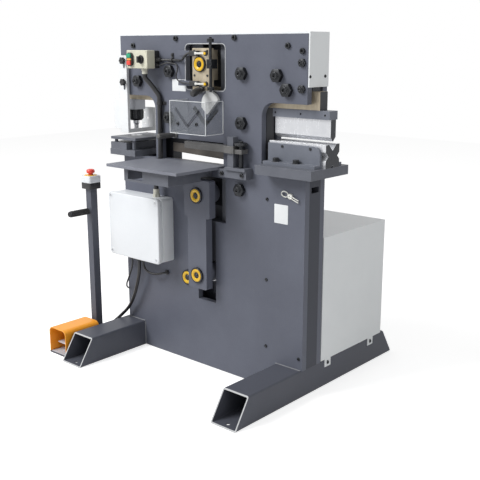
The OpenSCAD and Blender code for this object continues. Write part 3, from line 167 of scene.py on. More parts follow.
def surface(name, tones, rough, mottle=3.0, grain=(500, 500, 500), relief=0.12, worn=None, wear=0.5,
            **sockets):
    """A finish whose tone and gloss drift, with a fine grain, eased edges and worn corners."""
    material = bpy.data.materials.new(name)
    material.use_nodes = True
    tree = material.node_tree
    shader = tree.nodes["Principled BSDF"]
    for socket, value in sockets.items():
        shader.inputs[socket.replace("_", " ")].default_value = value

    def noise(vector, scale, detail, **rest):
        inputs = {"Vector": vector, "Scale": scale, "Detail": detail, **rest}
        return add_node(tree, "TexNoise", inputs).outputs["Fac"]

    place = add_node(tree, "TexCoord").outputs["Object"]
    drift = noise(place, mottle, 6.0, Roughness=0.62)
    fine = noise(add_node(tree, "Mapping", {"Vector": place, "Scale": grain}).outputs["Vector"], 1.0, 3.0)
    tone = add_node(tree, "Mix", {0: GRAIN_SHARE, 2: drift, 3: fine}, data_type="FLOAT").outputs[0]
    ramp = add_node(tree, "ValToRGB", {"Fac": tone})
    for stop, colour, where in zip(ramp.color_ramp.elements, tones, TONE_SPAN):
        stop.color, stop.position = (*colour, 1), where
    colour = ramp.outputs["Color"]
    soft = add_node(tree, "Bevel", {"Radius": EDGE_SOFT}, samples=4).outputs["Normal"]
    if worn:
        true = add_node(tree, "NewGeometry").outputs["Normal"]
        turn = add_node(tree, "VectorMath", {0: soft, 1: true}, operation="DOT_PRODUCT").outputs["Value"]
        patch = remap(tree, noise(place, 38.0, 5.0), WEAR_PATCHES)
        bare = maths(tree, "MULTIPLY", remap(tree, turn, EDGE_TURN, (0, wear)), patch)
        colour = add_node(tree, "Mix", {0: bare, 6: colour, 7: (*worn, 1)}, data_type="RGBA").outputs[2]
    bump = add_node(tree, "Bump", {
        "Strength": relief, "Distance": GRAIN_DEPTH, "Height": fine, "Normal": soft,
    }).outputs["Normal"]
    gloss = remap(tree, tone, TONE_SPAN, rough)
    for socket, source in (("Base Color", colour), ("Roughness", gloss), ("Normal", bump)):
        tree.links.new(source, shader.inputs[socket])
    return material


cable_rubber = surface("cable_rubber", RUBBER, (0.32, 0.46), mottle=30, relief=0.2)


def lead_curve(name, route, diameter):
    data = bpy.data.curves.new(name, "CURVE")
    data.dimensions = "3D"
    data.bevel_depth, data.bevel_resolution = diameter / 2000, 6
    data.resolution_u, data.use_fill_caps = 8, True
    spline = data.splines.new("BEZIER")
    spline.bezier_points.add(len(route) - 1)
    for point, place in zip(spline.bezier_points, route):
        point.co = at(*place)
        point.handle_left_type = point.handle_right_type = "AUTO"
    data.materials.append(cable_rubber)
    lead = bpy.data.objects.new(name, data)
    scene.collection.objects.link(lead)
    return lead


for name, route, diameter, node, lay in (
    ("pedal_lead", PEDAL_LEAD, PEDAL_LEAD_D, "pedal_cable", "loose"),
    ("motor_lead", MOTOR_LEAD, MOTOR_LEAD_D, "motor_cable", "hanging"),
):
    lead = lead_curve(name, route, diameter)
    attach(lead, "frame")
    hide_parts(node)


# Side plates: two thick flame-cut steel plates in slate powder coat, with columns and ties welded
# between them in a darker slate, which is painted shade between the plates. The front window has a
# bright eased rim and a pale liner strip. Thin sheets stand behind the openings in front of the
# ram, and two more stand behind the links. The sheets behind the openings and the liner carry a
# paler grey, which is painted light in place of the shade there.
SLATE = ((0.107, 0.115, 0.146), (0.138, 0.148, 0.185))
SLATE_DEEP = ((0.074, 0.079, 0.098), (0.096, 0.102, 0.125))
# The next tone, a darker slate for the columns and ties, is painted shade between the plates.
INNER_SHADE = ((0.048, 0.052, 0.066), (0.066, 0.070, 0.087))
# The next tone, a paler grey for the sheets behind the openings and the window's liner, is painted light in
# place of the shade there.
LIT_SHEET_GREY = ((0.17, 0.18, 0.21), (0.22, 0.23, 0.265))
RIM_BRIGHT = ((0.42, 0.44, 0.46), (0.56, 0.57, 0.59))
BARE, PAINT_SHEEN = (0.42, 0.43, 0.45), 0.2
PLATE_FRONT = -65
WINDOW_SIZE, WINDOW_MIDDLE, WINDOW_R = (232, 191), 1365.5, 18
RIM_W, RIM_T, RIM_EASE = 4, 0.8, 0.3
SHEET_EDGE = 0.4
SHIELD_BACK, SHIELD_T = -25.4, 1.2
SHIELDS = [(-83, 1365, 72, 206), (88.5, 1365, 63, 206), (91, 800.5, 60, 205)]
LINER, LINER_SIZE, LINER_EDGE = (-116, -51, WINDOW_MIDDLE), (27, 150, 1.2), 0.3
APRON, APRON_SIZE = (0, 37, 713), (150, 42, 1.5)
FLAP, FLAP_SIZE = (0, 35, 754), (150, 44, 1.3)
FRONT, RIGHT, TOP, BACK = (0, -1, 0), (1, 0, 0), (0, 0, 1), (0, 1, 0)
CREASE = radians(32)


def paint(name, tones, rough, worn=BARE, **rest):
    """A coat of low sheen that wears through at the corners."""
    return surface(name, tones, rough, worn=worn, Specular_IOR_Level=PAINT_SHEEN, **rest)


def wear_finish(finish, *names):
    for name in names:
        data = nodes[name].data
        data.materials.clear()
        data.materials.append(finish)


def finish_piece(name, shape, finish, body, slot, *replaced):
    """Closes a shape into a piece with outward faces, at the origin, on its body."""
    bmesh.ops.remove_doubles(shape, verts=shape.verts, dist=1e-6)
    bmesh.ops.recalc_face_normals(shape, faces=shape.faces)
    mesh = bpy.data.meshes.new(name)
    shape.to_mesh(mesh)
    shape.free()
    mesh.materials.append(finish)
    return place_piece(name, mesh, body, slot, *replaced)


def place_piece(name, mesh, body, slot, *replaced):
    mesh.shade_smooth()
    mesh.set_sharp_from_angle(angle=CREASE)
    piece = bpy.data.objects.new(name, mesh)
    scene.collection.objects.link(piece)
    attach(piece, body)
    if replaced:
        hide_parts(*replaced)
    return piece


def skin(shape, rings, closed=True):
    """Joins rings of equal length into walls, with the two ends capped."""
    made = [[shape.verts.new(p) for p in ring] for ring in rings]
    for low, high in zip(made, made[1:]):
        for i in range(len(low)):
            j = (i + 1) % len(low)
            shape.faces.new((low[i], low[j], high[j], high[i]))
    if closed:
        shape.faces.new(made[0][::-1])
        shape.faces.new(made[-1])
    return shape


def round_rect(w, h, r, inset=0.0, steps=5):
    """Corner points of a rectangle with round corners about its middle, drawn in by inset."""
    points = []
    for k, (sx, sy) in enumerate(((1, 1), (-1, 1), (-1, -1), (1, -1))):
        for i in range(steps + 1):
            turn = pi / 2 * (k + i / steps)
            points.append((
                sx * (w / 2 - r) + max(r - inset, 0.05) * cos(turn),
                sy * (h / 2 - r) + max(r - inset, 0.05) * sin(turn),
            ))
    return points


def across(axis):
    """The two directions that lie across an axis: x or y first, then upward or y."""
    axis = Vector(axis)
    up = Vector((0, 0, 1)) if abs(axis.z) < 0.5 else Vector((0, 1, 0))
    return up.cross(axis), up


def raised(middle, axis, rise, outline):
    """An outline across an axis, in mm about a middle that is lifted along the axis."""
    side, up = across(axis)
    base = at(*middle) + Vector(axis) * rise / 1000
    return [base + (side * a + up * b) / 1000 for a, b in outline]


def slab(shape, middle, size, axis, rim=1.0, corner=None, turns=4):
    """A rounded plate or block: size is width, height and depth, its back face's middle at middle."""
    w, h, depth = size
    corner = rim * 1.2 if corner is None else corner
    bends = [pi / 2 * i / turns for i in range(turns + 1)]
    levels = [(rim * (1 - sin(t)), rim * (1 - cos(t))) for t in bends]
    levels += [(inset, depth - rise) for inset, rise in reversed(levels)]
    return skin(shape, [
        raised(middle, axis, rise, round_rect(w, h, corner, inset)) for inset, rise in levels
    ])


def band(shape, middle, size, axis, width, height, corner):
    """A flat frame with eased edges round a rectangle: size is its inner width and height."""
    w, h = size
    rings = []
    for out, rise in ((0, 0), (RIM_EASE, height), (width - RIM_EASE, height), (width, 0)):
        outline = round_rect(w + 2 * out, h + 2 * out, corner + out, steps=8)
        rings.append(raised(middle, axis, rise, outline))
    return skin(shape, rings, closed=False)


slate_coat = paint("slate_coat", SLATE, (0.36, 0.5), wear=0.35)
slate_deep = paint("slate_deep", SLATE_DEEP, (0.38, 0.52), wear=0.35)
# The columns and ties take the darker slate: painted shade between the plates.
shaded_inner_coat = paint("shaded_inner_coat", INNER_SHADE, (0.42, 0.56), wear=0.3)
# The backing sheets and the liner take the paler grey: painted light in place of the shade behind the
# openings.
lit_sheet_coat = paint("lit_sheet_coat", LIT_SHEET_GREY, (0.4, 0.55), worn=None)
lit_liner_coat = surface("lit_liner_coat", LIT_SHEET_GREY, (0.4, 0.55))
pale_rim = surface("pale_rim", RIM_BRIGHT, (0.25, 0.4), mottle=20)
wear_finish(slate_coat, "front_plate", "rear_plate")
wear_finish(shaded_inner_coat, "frame_spacers")
rim = band(bmesh.new(), (0, PLATE_FRONT, WINDOW_MIDDLE), WINDOW_SIZE, FRONT, RIM_W, RIM_T, WINDOW_R)
finish_piece("window_rim", rim, pale_rim, "frame", "frame_paint")
# Paler sheets behind the openings: painted light where the ram and the link gap lie in shade.
shields = bmesh.new()
for x, z, w, h in SHIELDS:
    slab(shields, (x, SHIELD_BACK, z), (w, h, SHIELD_T), FRONT, SHEET_EDGE)
finish_piece("dust_shields", shields, lit_sheet_coat, "frame", "frame_paint")
liner = slab(bmesh.new(), LINER, LINER_SIZE, RIGHT, LINER_EDGE)
finish_piece("window_liner", liner, lit_liner_coat, "frame", "frame_paint")
apron = slab(bmesh.new(), APRON, APRON_SIZE, FRONT, SHEET_EDGE)
finish_piece("link_apron", apron, slate_deep, "frame", "frame_paint")
flap = slab(bmesh.new(), FLAP, FLAP_SIZE, FRONT, SHEET_EDGE)
finish_piece("link_flap", flap, slate_deep, "ram", "frame_paint")


# Skids: square tubes with slanted, saw-cut ends that are left bright, welded under the plates.
# The weld is a row of overlapping beads along each plate's foot.
SKID_MIDDLES, SKID_W, SKID_TOP = (-495, 470), 134, 126
PLATE_REACH = 545
BEAD_STEP, BEAD_R, BEAD_OUT = 3.4, 2.6, 0.5
BEAD = [(0.2, 0), (BEAD_R, 0.3), (BEAD_R * 0.9, 1.1), (BEAD_R * 0.45, 1.9), (0.1, 2.1)]
FOOT_EDGES, FOOT_LOW, FOOT_H = {1: -428, -1: 403}, 6, 118
CUT_LEAN, CUT_BRIGHT = 0.25, (0.55, 0.56, 0.57)
WELD_GREY = ((0.16, 0.165, 0.18), (0.26, 0.265, 0.28))
LEAN = radians(45)
skid_coat = paint("skid_coat", SLATE_DEEP, (0.38, 0.52), wear=0.3)
weld_coat = surface("weld_coat", WELD_GREY, (0.35, 0.5), mottle=60)


def coordinate(tree, kind):
    """The x, y and z of a piece's Normal or Object coordinate."""
    return add_node(tree, "SeparateXYZ", {"Vector": add_node(tree, "TexCoord").outputs[kind]}).outputs


def recolour(material, where, colour):
    """Lays another colour over a finish, where a value in its tree is 1."""
    tree = material.node_tree
    base = tree.nodes["Principled BSDF"].inputs["Base Color"]
    first = base.links[0].from_socket
    mixed = add_node(tree, "Mix", {0: where, 6: first, 7: (*colour, 1)}, data_type="RGBA")
    tree.links.new(mixed.outputs[2], base)


def bare_cut(material):
    """Leaves the slanted saw cuts, whose normals lean between front and top, as bright metal."""
    tree = material.node_tree
    normal = coordinate(tree, "Normal")
    facing, lifted = (maths(tree, "ABSOLUTE", normal[axis]) for axis in "YZ")
    both = maths(tree, "MULTIPLY", facing, lifted)
    recolour(material, maths(tree, "GREATER_THAN", both, CUT_LEAN), CUT_BRIGHT)


bare_cut(skid_coat)
wear_finish(skid_coat, "left_skid", "right_skid")


def open_tree(name, made, **given):
    """A new tree with one output and named inputs; returns it with the inputs' sockets."""
    tree = bpy.data.node_groups.new(name, "GeometryNodeTree")
    for socket, kind in given.items():
        tree.interface.new_socket(socket, in_out="INPUT", socket_type="NodeSocket" + kind)
    tree.interface.new_socket(made, in_out="OUTPUT", socket_type="NodeSocketGeometry")
    return tree, tree.nodes.new("NodeGroupInput").outputs


def close_tree(tree, shape, finish):
    """Ends a tree in real faces that carry a finish."""
    real = add_node(tree, "GeometryNodeRealizeInstances", {"Geometry": shape}).outputs["Geometry"]
    done = add_node(tree, "GeometryNodeSetMaterial", {"Geometry": real, "Material": finish})
    add_node(tree, "NodeGroupOutput", {0: done.outputs["Geometry"]})
    return tree


def grow(name, holder, tree, **given):
    """Runs a tree on an object and gives the result as a plain mesh, without the object."""
    modifier = holder.modifiers.new(tree.name, "NODES")
    modifier.node_group = tree
    socket_of = {item.name: item.identifier for item in tree.interface.items_tree}
    for socket, value in given.items():
        modifier[socket_of[socket]] = value
    depsgraph = bpy.context.evaluated_depsgraph_get()
    mesh = bpy.data.meshes.new_from_object(holder.evaluated_get(depsgraph))
    mesh.name = name
    bpy.data.objects.remove(holder)
    return mesh


def scatter_tree():
    """Sets a copy of one piece on every point of a mesh, turned by the point's own attribute."""
    tree, given = open_tree("set_pieces", "Pieces", Points="Geometry", Piece="Object", Size="Float",
                            Finish="Material")
    piece = add_node(tree, "GeometryNodeObjectInfo", {"Object": given["Piece"]})
    turn = add_node(tree, "GeometryNodeInputNamedAttribute", {"Name": "turn"}, data_type="FLOAT_VECTOR")
    spin = add_node(tree, "FunctionNodeEulerToRotation", {"Euler": turn.outputs["Attribute"]})
    setter = add_node(tree, "GeometryNodeInstanceOnPoints", {
        "Points": given["Points"], "Instance": piece.outputs["Geometry"],
        "Rotation": spin.outputs["Rotation"], "Scale": given["Size"],
    })
    return close_tree(tree, setter.outputs["Instances"], given["Finish"])


set_pieces = scatter_tree()
TURNS = {
    FRONT: (pi / 2, 0, 0), RIGHT: (0, pi / 2, 0), TOP: (0, 0, 0), BACK: (-pi / 2, 0, 0),
}


def scatter(name, shape, places, finish, body, slot, *replaced, size=1.0):
    """Copies of a shape, drawn about +Z, on a list of (place in mm, facing) points."""
    pattern_mesh = bpy.data.meshes.new(name + "_pattern")
    bmesh.ops.recalc_face_normals(shape, faces=shape.faces)
    shape.to_mesh(pattern_mesh)
    shape.free()
    pattern = bpy.data.objects.new(name + "_pattern", pattern_mesh)
    points = bpy.data.meshes.new(name + "_points")
    points.from_pydata([at(*place) for place, facing in places], [], [])
    turn = points.attributes.new("turn", "FLOAT_VECTOR", "POINT")
    for item, (place, facing) in zip(turn.data, places):
        item.vector = TURNS.get(facing, facing)
    holder = bpy.data.objects.new(name + "_points", points)
    scene.collection.objects.link(holder)
    mesh = grow(name, holder, set_pieces, Piece=pattern, Size=size, Finish=finish)
    bpy.data.objects.remove(pattern)
    return place_piece(name, mesh, body, slot, *replaced)


def turned(shape, profile, place=Vector(), axis=TOP, steps=32, unit=0.001):
    """A turned form: profile is (radius, height) along the axis, closed at both ends."""
    axis = Vector(axis)
    side = axis.orthogonal().normalized() if abs(axis.z) < 0.9 else Vector((1, 0, 0))
    other = axis.cross(side)
    turns = [tau * k / steps for k in range(steps)]
    return skin(shape, [
        [place + unit * (axis * h + max(r, 0.001) * (side * cos(t) + other * sin(t))) for t in turns]
        for r, h in profile
    ])


bead_places = []
for middle in SKID_MIDDLES:
    for side in (-1, 1):
        for i in range(int(SKID_W / BEAD_STEP)):
            x = middle - SKID_W / 2 + (i + 0.5) * BEAD_STEP
            if abs(x) < PLATE_REACH:
                place = (x, side * (BEAD_OUT - PLATE_FRONT), SKID_TOP + BEAD_OUT)
                bead_places.append((place, (-side * LEAN, 0, 0)))
for sign, edge in FOOT_EDGES.items():
    for i in range(int(FOOT_H / BEAD_STEP)):
        place = (edge + sign * BEAD_OUT, PLATE_FRONT - BEAD_OUT, FOOT_LOW + i * BEAD_STEP)
        bead_places.append((place, (2 * LEAN, 0, sign * LEAN)))
scatter("skid_welds", turned(bmesh.new(), BEAD, steps=8), bead_places, weld_coat, "frame", "frame_paint")


# Plate screws: black socket-head screws that hold the inner blocks, and the small dark domed
# screws of the lower panels.
PLATE_SCREWS = [(-453, 1456), (-173, 1486), (170, 1487), (449, 1455), (520, 1435)]
SMALL_SCREWS = [(349, 837), (348, 490), (348, 191), (526, 177)]
BLACKENED = ((0.012, 0.013, 0.015), (0.030, 0.032, 0.036))
black_steel = surface("black_steel", BLACKENED, (0.28, 0.45), mottle=60, worn=BARE, wear=0.5, Metallic=0.6)


def socket_head(tall):
    """A socket screw's head, one unit in radius, with its recess; a low dome where tall is None."""
    if tall is None:
        profile = [(1.0, 0), (1.0, 0.12), (0.94, 0.36), (0.76, 0.56), (0.5, 0.62)]
    else:
        profile = [(0.98, 0), (1.0, tall * 0.1), (1.0, tall * 0.86), (0.88, tall), (0.56, tall)]
    recess = [(0.5, profile[-1][1] - 0.04), (0.48, 0.2), (0.05, 0.16)]
    return turned(bmesh.new(), profile + recess, steps=24, unit=1)


def screws(name, radius, places, tall=None, finish=black_steel, body="frame", slot="nut_steel"):
    scatter(name, socket_head(tall), places, finish, body, slot, size=radius / 1000)


def facing_front(spots, y=PLATE_FRONT):
    """Places at one depth from pairs of x and z, each facing the front."""
    return [((x, y, z), FRONT) for x, z in spots]


screws("plate_screws", 11.5, facing_front(PLATE_SCREWS), 0.8)
screws("panel_screws", 7.5, facing_front(SMALL_SCREWS))


# Guide adjusters: threaded studs with lock nuts and round recesses that press the bronze pads
# against the ram; blackened steel, set through the front plate.
ADJUSTERS = [(-212, 1345), (-423, 1297), (213, 1344), (213, 1142), (203, 859), (399, 1340), (448, 1285),
             (-221, 1142), (-221, 867)]
SIDE_STUDS = [(519, 1391), (519, 1291)]
STUD_INNER, STUD_RECESS = -28, 0.45
BRONZE = ((0.30, 0.18, 0.07), (0.46, 0.30, 0.13))


def lock_nut(shape, across_flats, tall, low=0.0, per_side=4):
    """A hexagon nut whose corners are turned off, one corner along x."""
    inner = across_flats / 2 * 0.97
    corner = across_flats / 2 / cos(pi / 6)
    outline = []
    for k in range(6):
        a, b = (Vector((cos(pi / 3 * j), sin(pi / 3 * j))) * corner for j in (k, k + 1))
        outline += [a.lerp(b, i / per_side) for i in range(per_side)]
    drop = [max(0.0, p.length - inner) * tan(pi / 6) for p in outline]
    ring = [p.normalized() * inner for p in outline]
    rings = [
        [(p.x, p.y, low) for p in ring],
        [(p.x, p.y, low + d) for p, d in zip(outline, drop)],
        [(p.x, p.y, low + tall - d) for p, d in zip(outline, drop)],
        [(p.x, p.y, low + tall) for p in ring],
    ]
    return skin(shape, [[Vector(p) / 1000 for p in r] for r in rings])


def stud_profile(radius, high, pitch=2.5, depth=0.9):
    """A threaded stud's end with its chamfer and recess."""
    profile = [(radius, STUD_INNER)]
    h = 0
    while h < high - 2 * pitch:
        profile += [(radius, h + 0.2), (radius - depth, h + pitch / 2), (radius, h + pitch - 0.2)]
        h += pitch
    hole = radius * STUD_RECESS
    return profile + [(radius, high - 1.6), (radius - 2, high), (hole + 0.5, high), (hole, high - 0.6),
                      (hole * 0.95, high - 6), (0.1, high - 6.5)]


adjuster = turned(lock_nut(bmesh.new(), 50, 20), stud_profile(15, 29))
scatter("guide_nuts", adjuster, facing_front(ADJUSTERS), black_steel, "frame", "nut_steel",
        "guide_adjusters")
side_stud = turned(lock_nut(bmesh.new(), 30, 10), stud_profile(8, 20, pitch=2.0, depth=0.7), steps=24)
scatter("end_nuts", side_stud, facing_front(SIDE_STUDS), black_steel, "frame", "nut_steel")
bronze = surface("bronze", BRONZE, (0.3, 0.45), mottle=25, grain=(40, 900, 900), Metallic=1.0)
wear_finish(bronze, "guide_pads")


# Drive: a cylinder between the plates pulls the ram down through two painted tie links. Each
# link pin has a dark cap with a yellow ring round its hexagon plug.
LINK_FRONT, PIN_ZS = 127, (819, 457)
PIN_R, CAP_R, CAP_T = 25, 36, 11
FIXED_PIN = (-120, 411)
BOSS_CAP, BOSS_CAP_R, BOSS_FACE = (1, 1379), 33.2, -95
YELLOW = ((0.66, 0.37, 0.006), (0.84, 0.53, 0.012))
GROUND = ((0.40, 0.41, 0.43), (0.58, 0.59, 0.61))
link_coat = paint("link_coat", SLATE, (0.36, 0.5), wear=0.45)
yellow_gloss = surface("yellow_gloss", YELLOW, (0.18, 0.3), mottle=40)
ground_steel = surface("ground_steel", GROUND, (0.22, 0.36), mottle=10, grain=(8, 900, 900), relief=0.15,
                       Metallic=0.9)
wear_finish(link_coat, "tie_links")
wear_finish(slate_deep, "cylinder_barrel")
wear_finish(ground_steel, "piston_rod")


def pin_cap(dark, bright, place, axis, r=CAP_R):
    """A cap's rim, hub and hexagon plug in the dark shape, the ring between them in the bright one."""
    rim = [(r - 0.6, 0), (r, 0.6), (r, 7.6), (r - 1.2, 8.8), (29.4, 8.8), (29.2, 4.6), (0.1, 4.6)]
    hub = [(13.6, 4.4), (13.6, 6.6), (12.8, 7.2), (10.4, 7.4)]
    plug = [(9.2, 4.4), (9.2, CAP_T - 1), (8.2, CAP_T), (0.1, CAP_T)]
    ring = [(29, 4.5), (29, 8.6), (27.4, CAP_T - 0.8), (23.5, CAP_T), (18, CAP_T - 0.8), (14.4, 7.4),
            (13.8, 4.5)]
    for shape, profile, steps in ((dark, rim, 40), (dark, hub, 32), (dark, plug, 6), (bright, ring, 40)):
        turned(shape, profile, at(*place), axis, steps)


pins, rings = bmesh.new(), bmesh.new()
for z in PIN_ZS:
    turned(pins, [(PIN_R, -LINK_FRONT), (PIN_R, LINK_FRONT)], at(0, 0, z), BACK)
    for side in (-1, 1):
        pin_cap(pins, rings, (0, side * LINK_FRONT, z), (0, side, 0))
pin_cap(pins, rings, (BOSS_CAP[0], BOSS_FACE, BOSS_CAP[1]), FRONT, BOSS_CAP_R)
finish_piece("link_pin_caps", pins, black_steel, "ram", "nut_steel", "link_pins")
finish_piece("link_pin_rings", rings, yellow_gloss, "ram", "yellow_cap")
fixed_pin, fixed_ring = bmesh.new(), bmesh.new()
turned(fixed_pin, [(PIN_R, PLATE_FRONT), (PIN_R, -PLATE_FRONT)], at(FIXED_PIN[0], 0, FIXED_PIN[1]), BACK)
pin_cap(fixed_pin, fixed_ring, (FIXED_PIN[0], PLATE_FRONT, FIXED_PIN[1]), FRONT)
finish_piece("fixed_pin_cap", fixed_pin, black_steel, "frame", "nut_steel", "anchor_pin")
finish_piece("fixed_pin_ring", fixed_ring, yellow_gloss, "frame", "yellow_cap")


# Ram: one plate of bare, oiled steel with a tan film, painted above and below its middle in a
# near-black that is painted shade where it runs between the plates. Its sawn end faces carry a dark
# scale tone that is also painted shade on the end turned from the light. Its boss stands out of the
# window, with the black rod with two collars that trips the switches.
OILED = ((0.40, 0.34, 0.25), (0.58, 0.51, 0.39))
# The first tone below, for sawn end faces, is dark scale and also painted shade on the ends turned from the
# light.
SCALE_AND_SHADE, END_FACING = (0.050, 0.052, 0.058), 0.85
# The ram's painted zones take a near-black that is painted shade where the ram runs between the plates.
RAM_PAINT_SHADE_ZONES, RAM_PAINT_AND_SHADE = ((0.0, 1.203), (1.284, 2.0)), (0.018, 0.019, 0.023)
CLAMP_FACE, CLAMP_SCREWS = -112, [(76, 1371), (76, 1391)]
BOSS_SCREWS = [(-33, 1434), (43, 1434), (43, 1332), (-33, 1332)]
ram_steel = paint("ram_steel", OILED, (0.3, 0.5), mottle=14, grain=(300, 300, 40), relief=0.2,
                  worn=(0.62, 0.60, 0.55), wear=0.6, Metallic=0.35)


def height_zones(material, zones, colour):
    """Gives the stretches of height in zones, each a low and a high in metres, another colour."""
    tree = material.node_tree
    height = coordinate(tree, "Object")["Z"]
    for low, high in zones:
        recolour(material, maths(tree, "COMPARE", height, (low + high) / 2, (high - low) / 2), colour)


def scale_and_shade_ends(material, colour):
    """Gives both end faces of a bar, which are sawn and never ground, a dark scale tone that is also
    painted shade on the end turned from the light.
    """
    tree = material.node_tree
    along = maths(tree, "ABSOLUTE", coordinate(tree, "Normal")["X"])
    recolour(material, maths(tree, "GREATER_THAN", along, END_FACING), colour)


# This copy adds the near-black zones, painted shade between the plates, and the dark end faces, partly
# painted shade.
ram_painted = ram_steel.copy()
ram_painted.name = "ram_painted"
height_zones(ram_painted, RAM_PAINT_SHADE_ZONES, RAM_PAINT_AND_SHADE)
scale_and_shade_ends(ram_painted, SCALE_AND_SHADE)
wear_finish(ram_painted, "ram_plate")
wear_finish(ram_steel, "ram_boss")
wear_finish(black_steel, "trip_rod")
screws("clamp_screws", 4.5, facing_front(CLAMP_SCREWS, CLAMP_FACE), 0.7, body="ram")
screws("boss_screws", 5, facing_front(BOSS_SCREWS, BOSS_FACE), 0.5, body="ram")


# Punching station: a grey bolster, die holder and raised table under a black quick-change
# holder that hangs from the ram with the bright punch in it. The shear blades are tool steel.
GREY = ((0.108, 0.115, 0.137), (0.149, 0.157, 0.183))
TOOL_STEEL = ((0.10, 0.088, 0.076), (0.17, 0.152, 0.134))
HOLDER_HEAD, HEAD_GREY = (1.160, 1.210), (0.30, 0.31, 0.34)
HOLDER_X, HOLDER_R = -525, 36
FLUTE_COUNT, FLUTE_Z, FLUTE = 18, 1119, [(1.2, 0), (1.2, 36), (0.2, 37)]
worn_grey = paint("worn_grey", GREY, (0.34, 0.5), mottle=9, wear=0.8)
holder_steel = black_steel.copy()
holder_steel.name = "holder_steel"
height_zones(holder_steel, [HOLDER_HEAD], HEAD_GREY)
blade_steel = surface("blade_steel", TOOL_STEEL, (0.32, 0.48), mottle=16, grain=(10, 800, 800),
                      worn=(0.45, 0.44, 0.42), wear=0.8, Metallic=0.4)
wear_finish(worn_grey, "punch_bolster", "die_holder", "punch_table")
wear_finish(holder_steel, "punch_holder")
wear_finish(ground_steel, "punch", "punch_die")
wear_finish(blade_steel, "moving_blades", "fixed_blades")


def circle_places(x, y, z, radius, count):
    """Places round a level circle, each facing up."""
    turns = [tau * k / count for k in range(count)]
    return [((x + radius * cos(t), y + radius * sin(t), z), TOP) for t in turns]


scatter("holder_flutes", turned(bmesh.new(), FLUTE, steps=8),
        circle_places(HOLDER_X, 0, FLUTE_Z, HOLDER_R, FLUTE_COUNT), black_steel, "ram", "nut_steel")


# Punch guard: one folded sheet in white enamel, slotted for two black star knobs that clamp
# it to the plate; it slides up when the knobs are slack.
WHITE = ((0.74, 0.76, 0.775), (0.82, 0.84, 0.85))
PLASTIC = ((0.010, 0.010, 0.011), (0.024, 0.024, 0.026))
KNOB_X, KNOB_ZS, KNOB_BACK = -501, {"upper": 1388, "lower": 1290}, -87
KNOB_T, KNOB_R, KNOB_LOBES, LOBE_DEPTH, KNOB_POINTS = 18, 17, 6, 0.1, 48
KNOB = [(0.62, 0), (0.66, 5), (0.93, 6.5), (1.0, 9), (1.0, 14), (0.93, KNOB_T - 1.2), (0.72, KNOB_T),
        (0.3, KNOB_T), (0.24, KNOB_T - 1.2), (0.02, KNOB_T - 1.5)]
KNOB_STUD = [(5, -31), (5, 1)]
white_enamel = surface("white_enamel", WHITE, (0.28, 0.42), mottle=5, relief=0.05, worn=(0.5, 0.52, 0.54),
                       wear=0.3)
black_plastic = surface("black_plastic", PLASTIC, (0.38, 0.55), mottle=50, relief=0.25)
wear_finish(white_enamel, "punch_guard")


def star_knob(place):
    """A moulded knob with six soft lobes, a domed front and its stud."""
    rings = []
    for share, rise in KNOB:
        outline = []
        for k in range(KNOB_POINTS):
            turn = tau * k / KNOB_POINTS
            lobe = 1 + LOBE_DEPTH * (cos(KNOB_LOBES * turn) - 1) * (share > 0.9)
            outline.append((KNOB_R * share * lobe * cos(turn), KNOB_R * share * lobe * sin(turn)))
        rings.append(raised(place, FRONT, rise, outline))
    return turned(skin(bmesh.new(), rings), KNOB_STUD, at(*place), FRONT, 20)


for name, z in KNOB_ZS.items():
    finish_piece(name + "_star_knob", star_knob((KNOB_X, KNOB_BACK, z)), black_plastic,
                 name + "_guard_knob_body", "black_plastic", name + "_guard_knob")


# Bending station: a ground blade in a grey holder over a four-way die, which two brackets with
# bolted feet clamp on a thick table. The blade's and the die's sawn ends carry a dark scale tone
# that is also painted shade on the ends turned from the light.
POLISHED = ((0.60, 0.61, 0.64), (0.74, 0.75, 0.77))
BRACKET_GREY = ((0.143, 0.155, 0.187), (0.195, 0.209, 0.246))
FOOT_TOP, FOOT_XS, FOOT_Y = 1000, (400, 502), 75
WASHER, WASHER_T = [(15, 0), (15, 2.4), (14, 2.8)], 2.6
BRACKET_FACE, BRACKET_SCREWS = -58, [(420, 1061), (559, 1061)]
HOLDER_FACE, HOLDER_SCREWS = -19.5, [(356, 1192), (484.5, 1192), (603, 1192)]
polished_blade = paint("polished_blade", POLISHED, (0.2, 0.34), mottle=7, grain=(900, 900, 14), relief=0.1,
                       worn=(0.8, 0.8, 0.82), wear=0.7, Metallic=0.6)
bracket_grey = paint("bracket_grey", BRACKET_GREY, (0.32, 0.46), mottle=9, worn=(0.5, 0.51, 0.53), wear=0.9)
# The blade's and the die's end faces get the dark tone that is also painted shade.
scale_and_shade_ends(polished_blade, SCALE_AND_SHADE)
wear_finish(worn_grey, "brake_table")
wear_finish(bracket_grey, "die_brackets", "brake_holder")
wear_finish(polished_blade, "brake_punch", "vee_die")
bolt = lock_nut(turned(bmesh.new(), WASHER, steps=28), 23, 13, low=WASHER_T)
foot_bolts = [((x, side * FOOT_Y, FOOT_TOP), TOP) for x in FOOT_XS for side in (-1, 1)]
scatter("foot_bolts", bolt, foot_bolts, black_steel, "frame", "nut_steel")
screws("bracket_screws", 6, facing_front(BRACKET_SCREWS, BRACKET_FACE), 0.4)
screws("holder_screws", 4.2, facing_front(HOLDER_SCREWS, HOLDER_FACE), 0.5, body="ram")


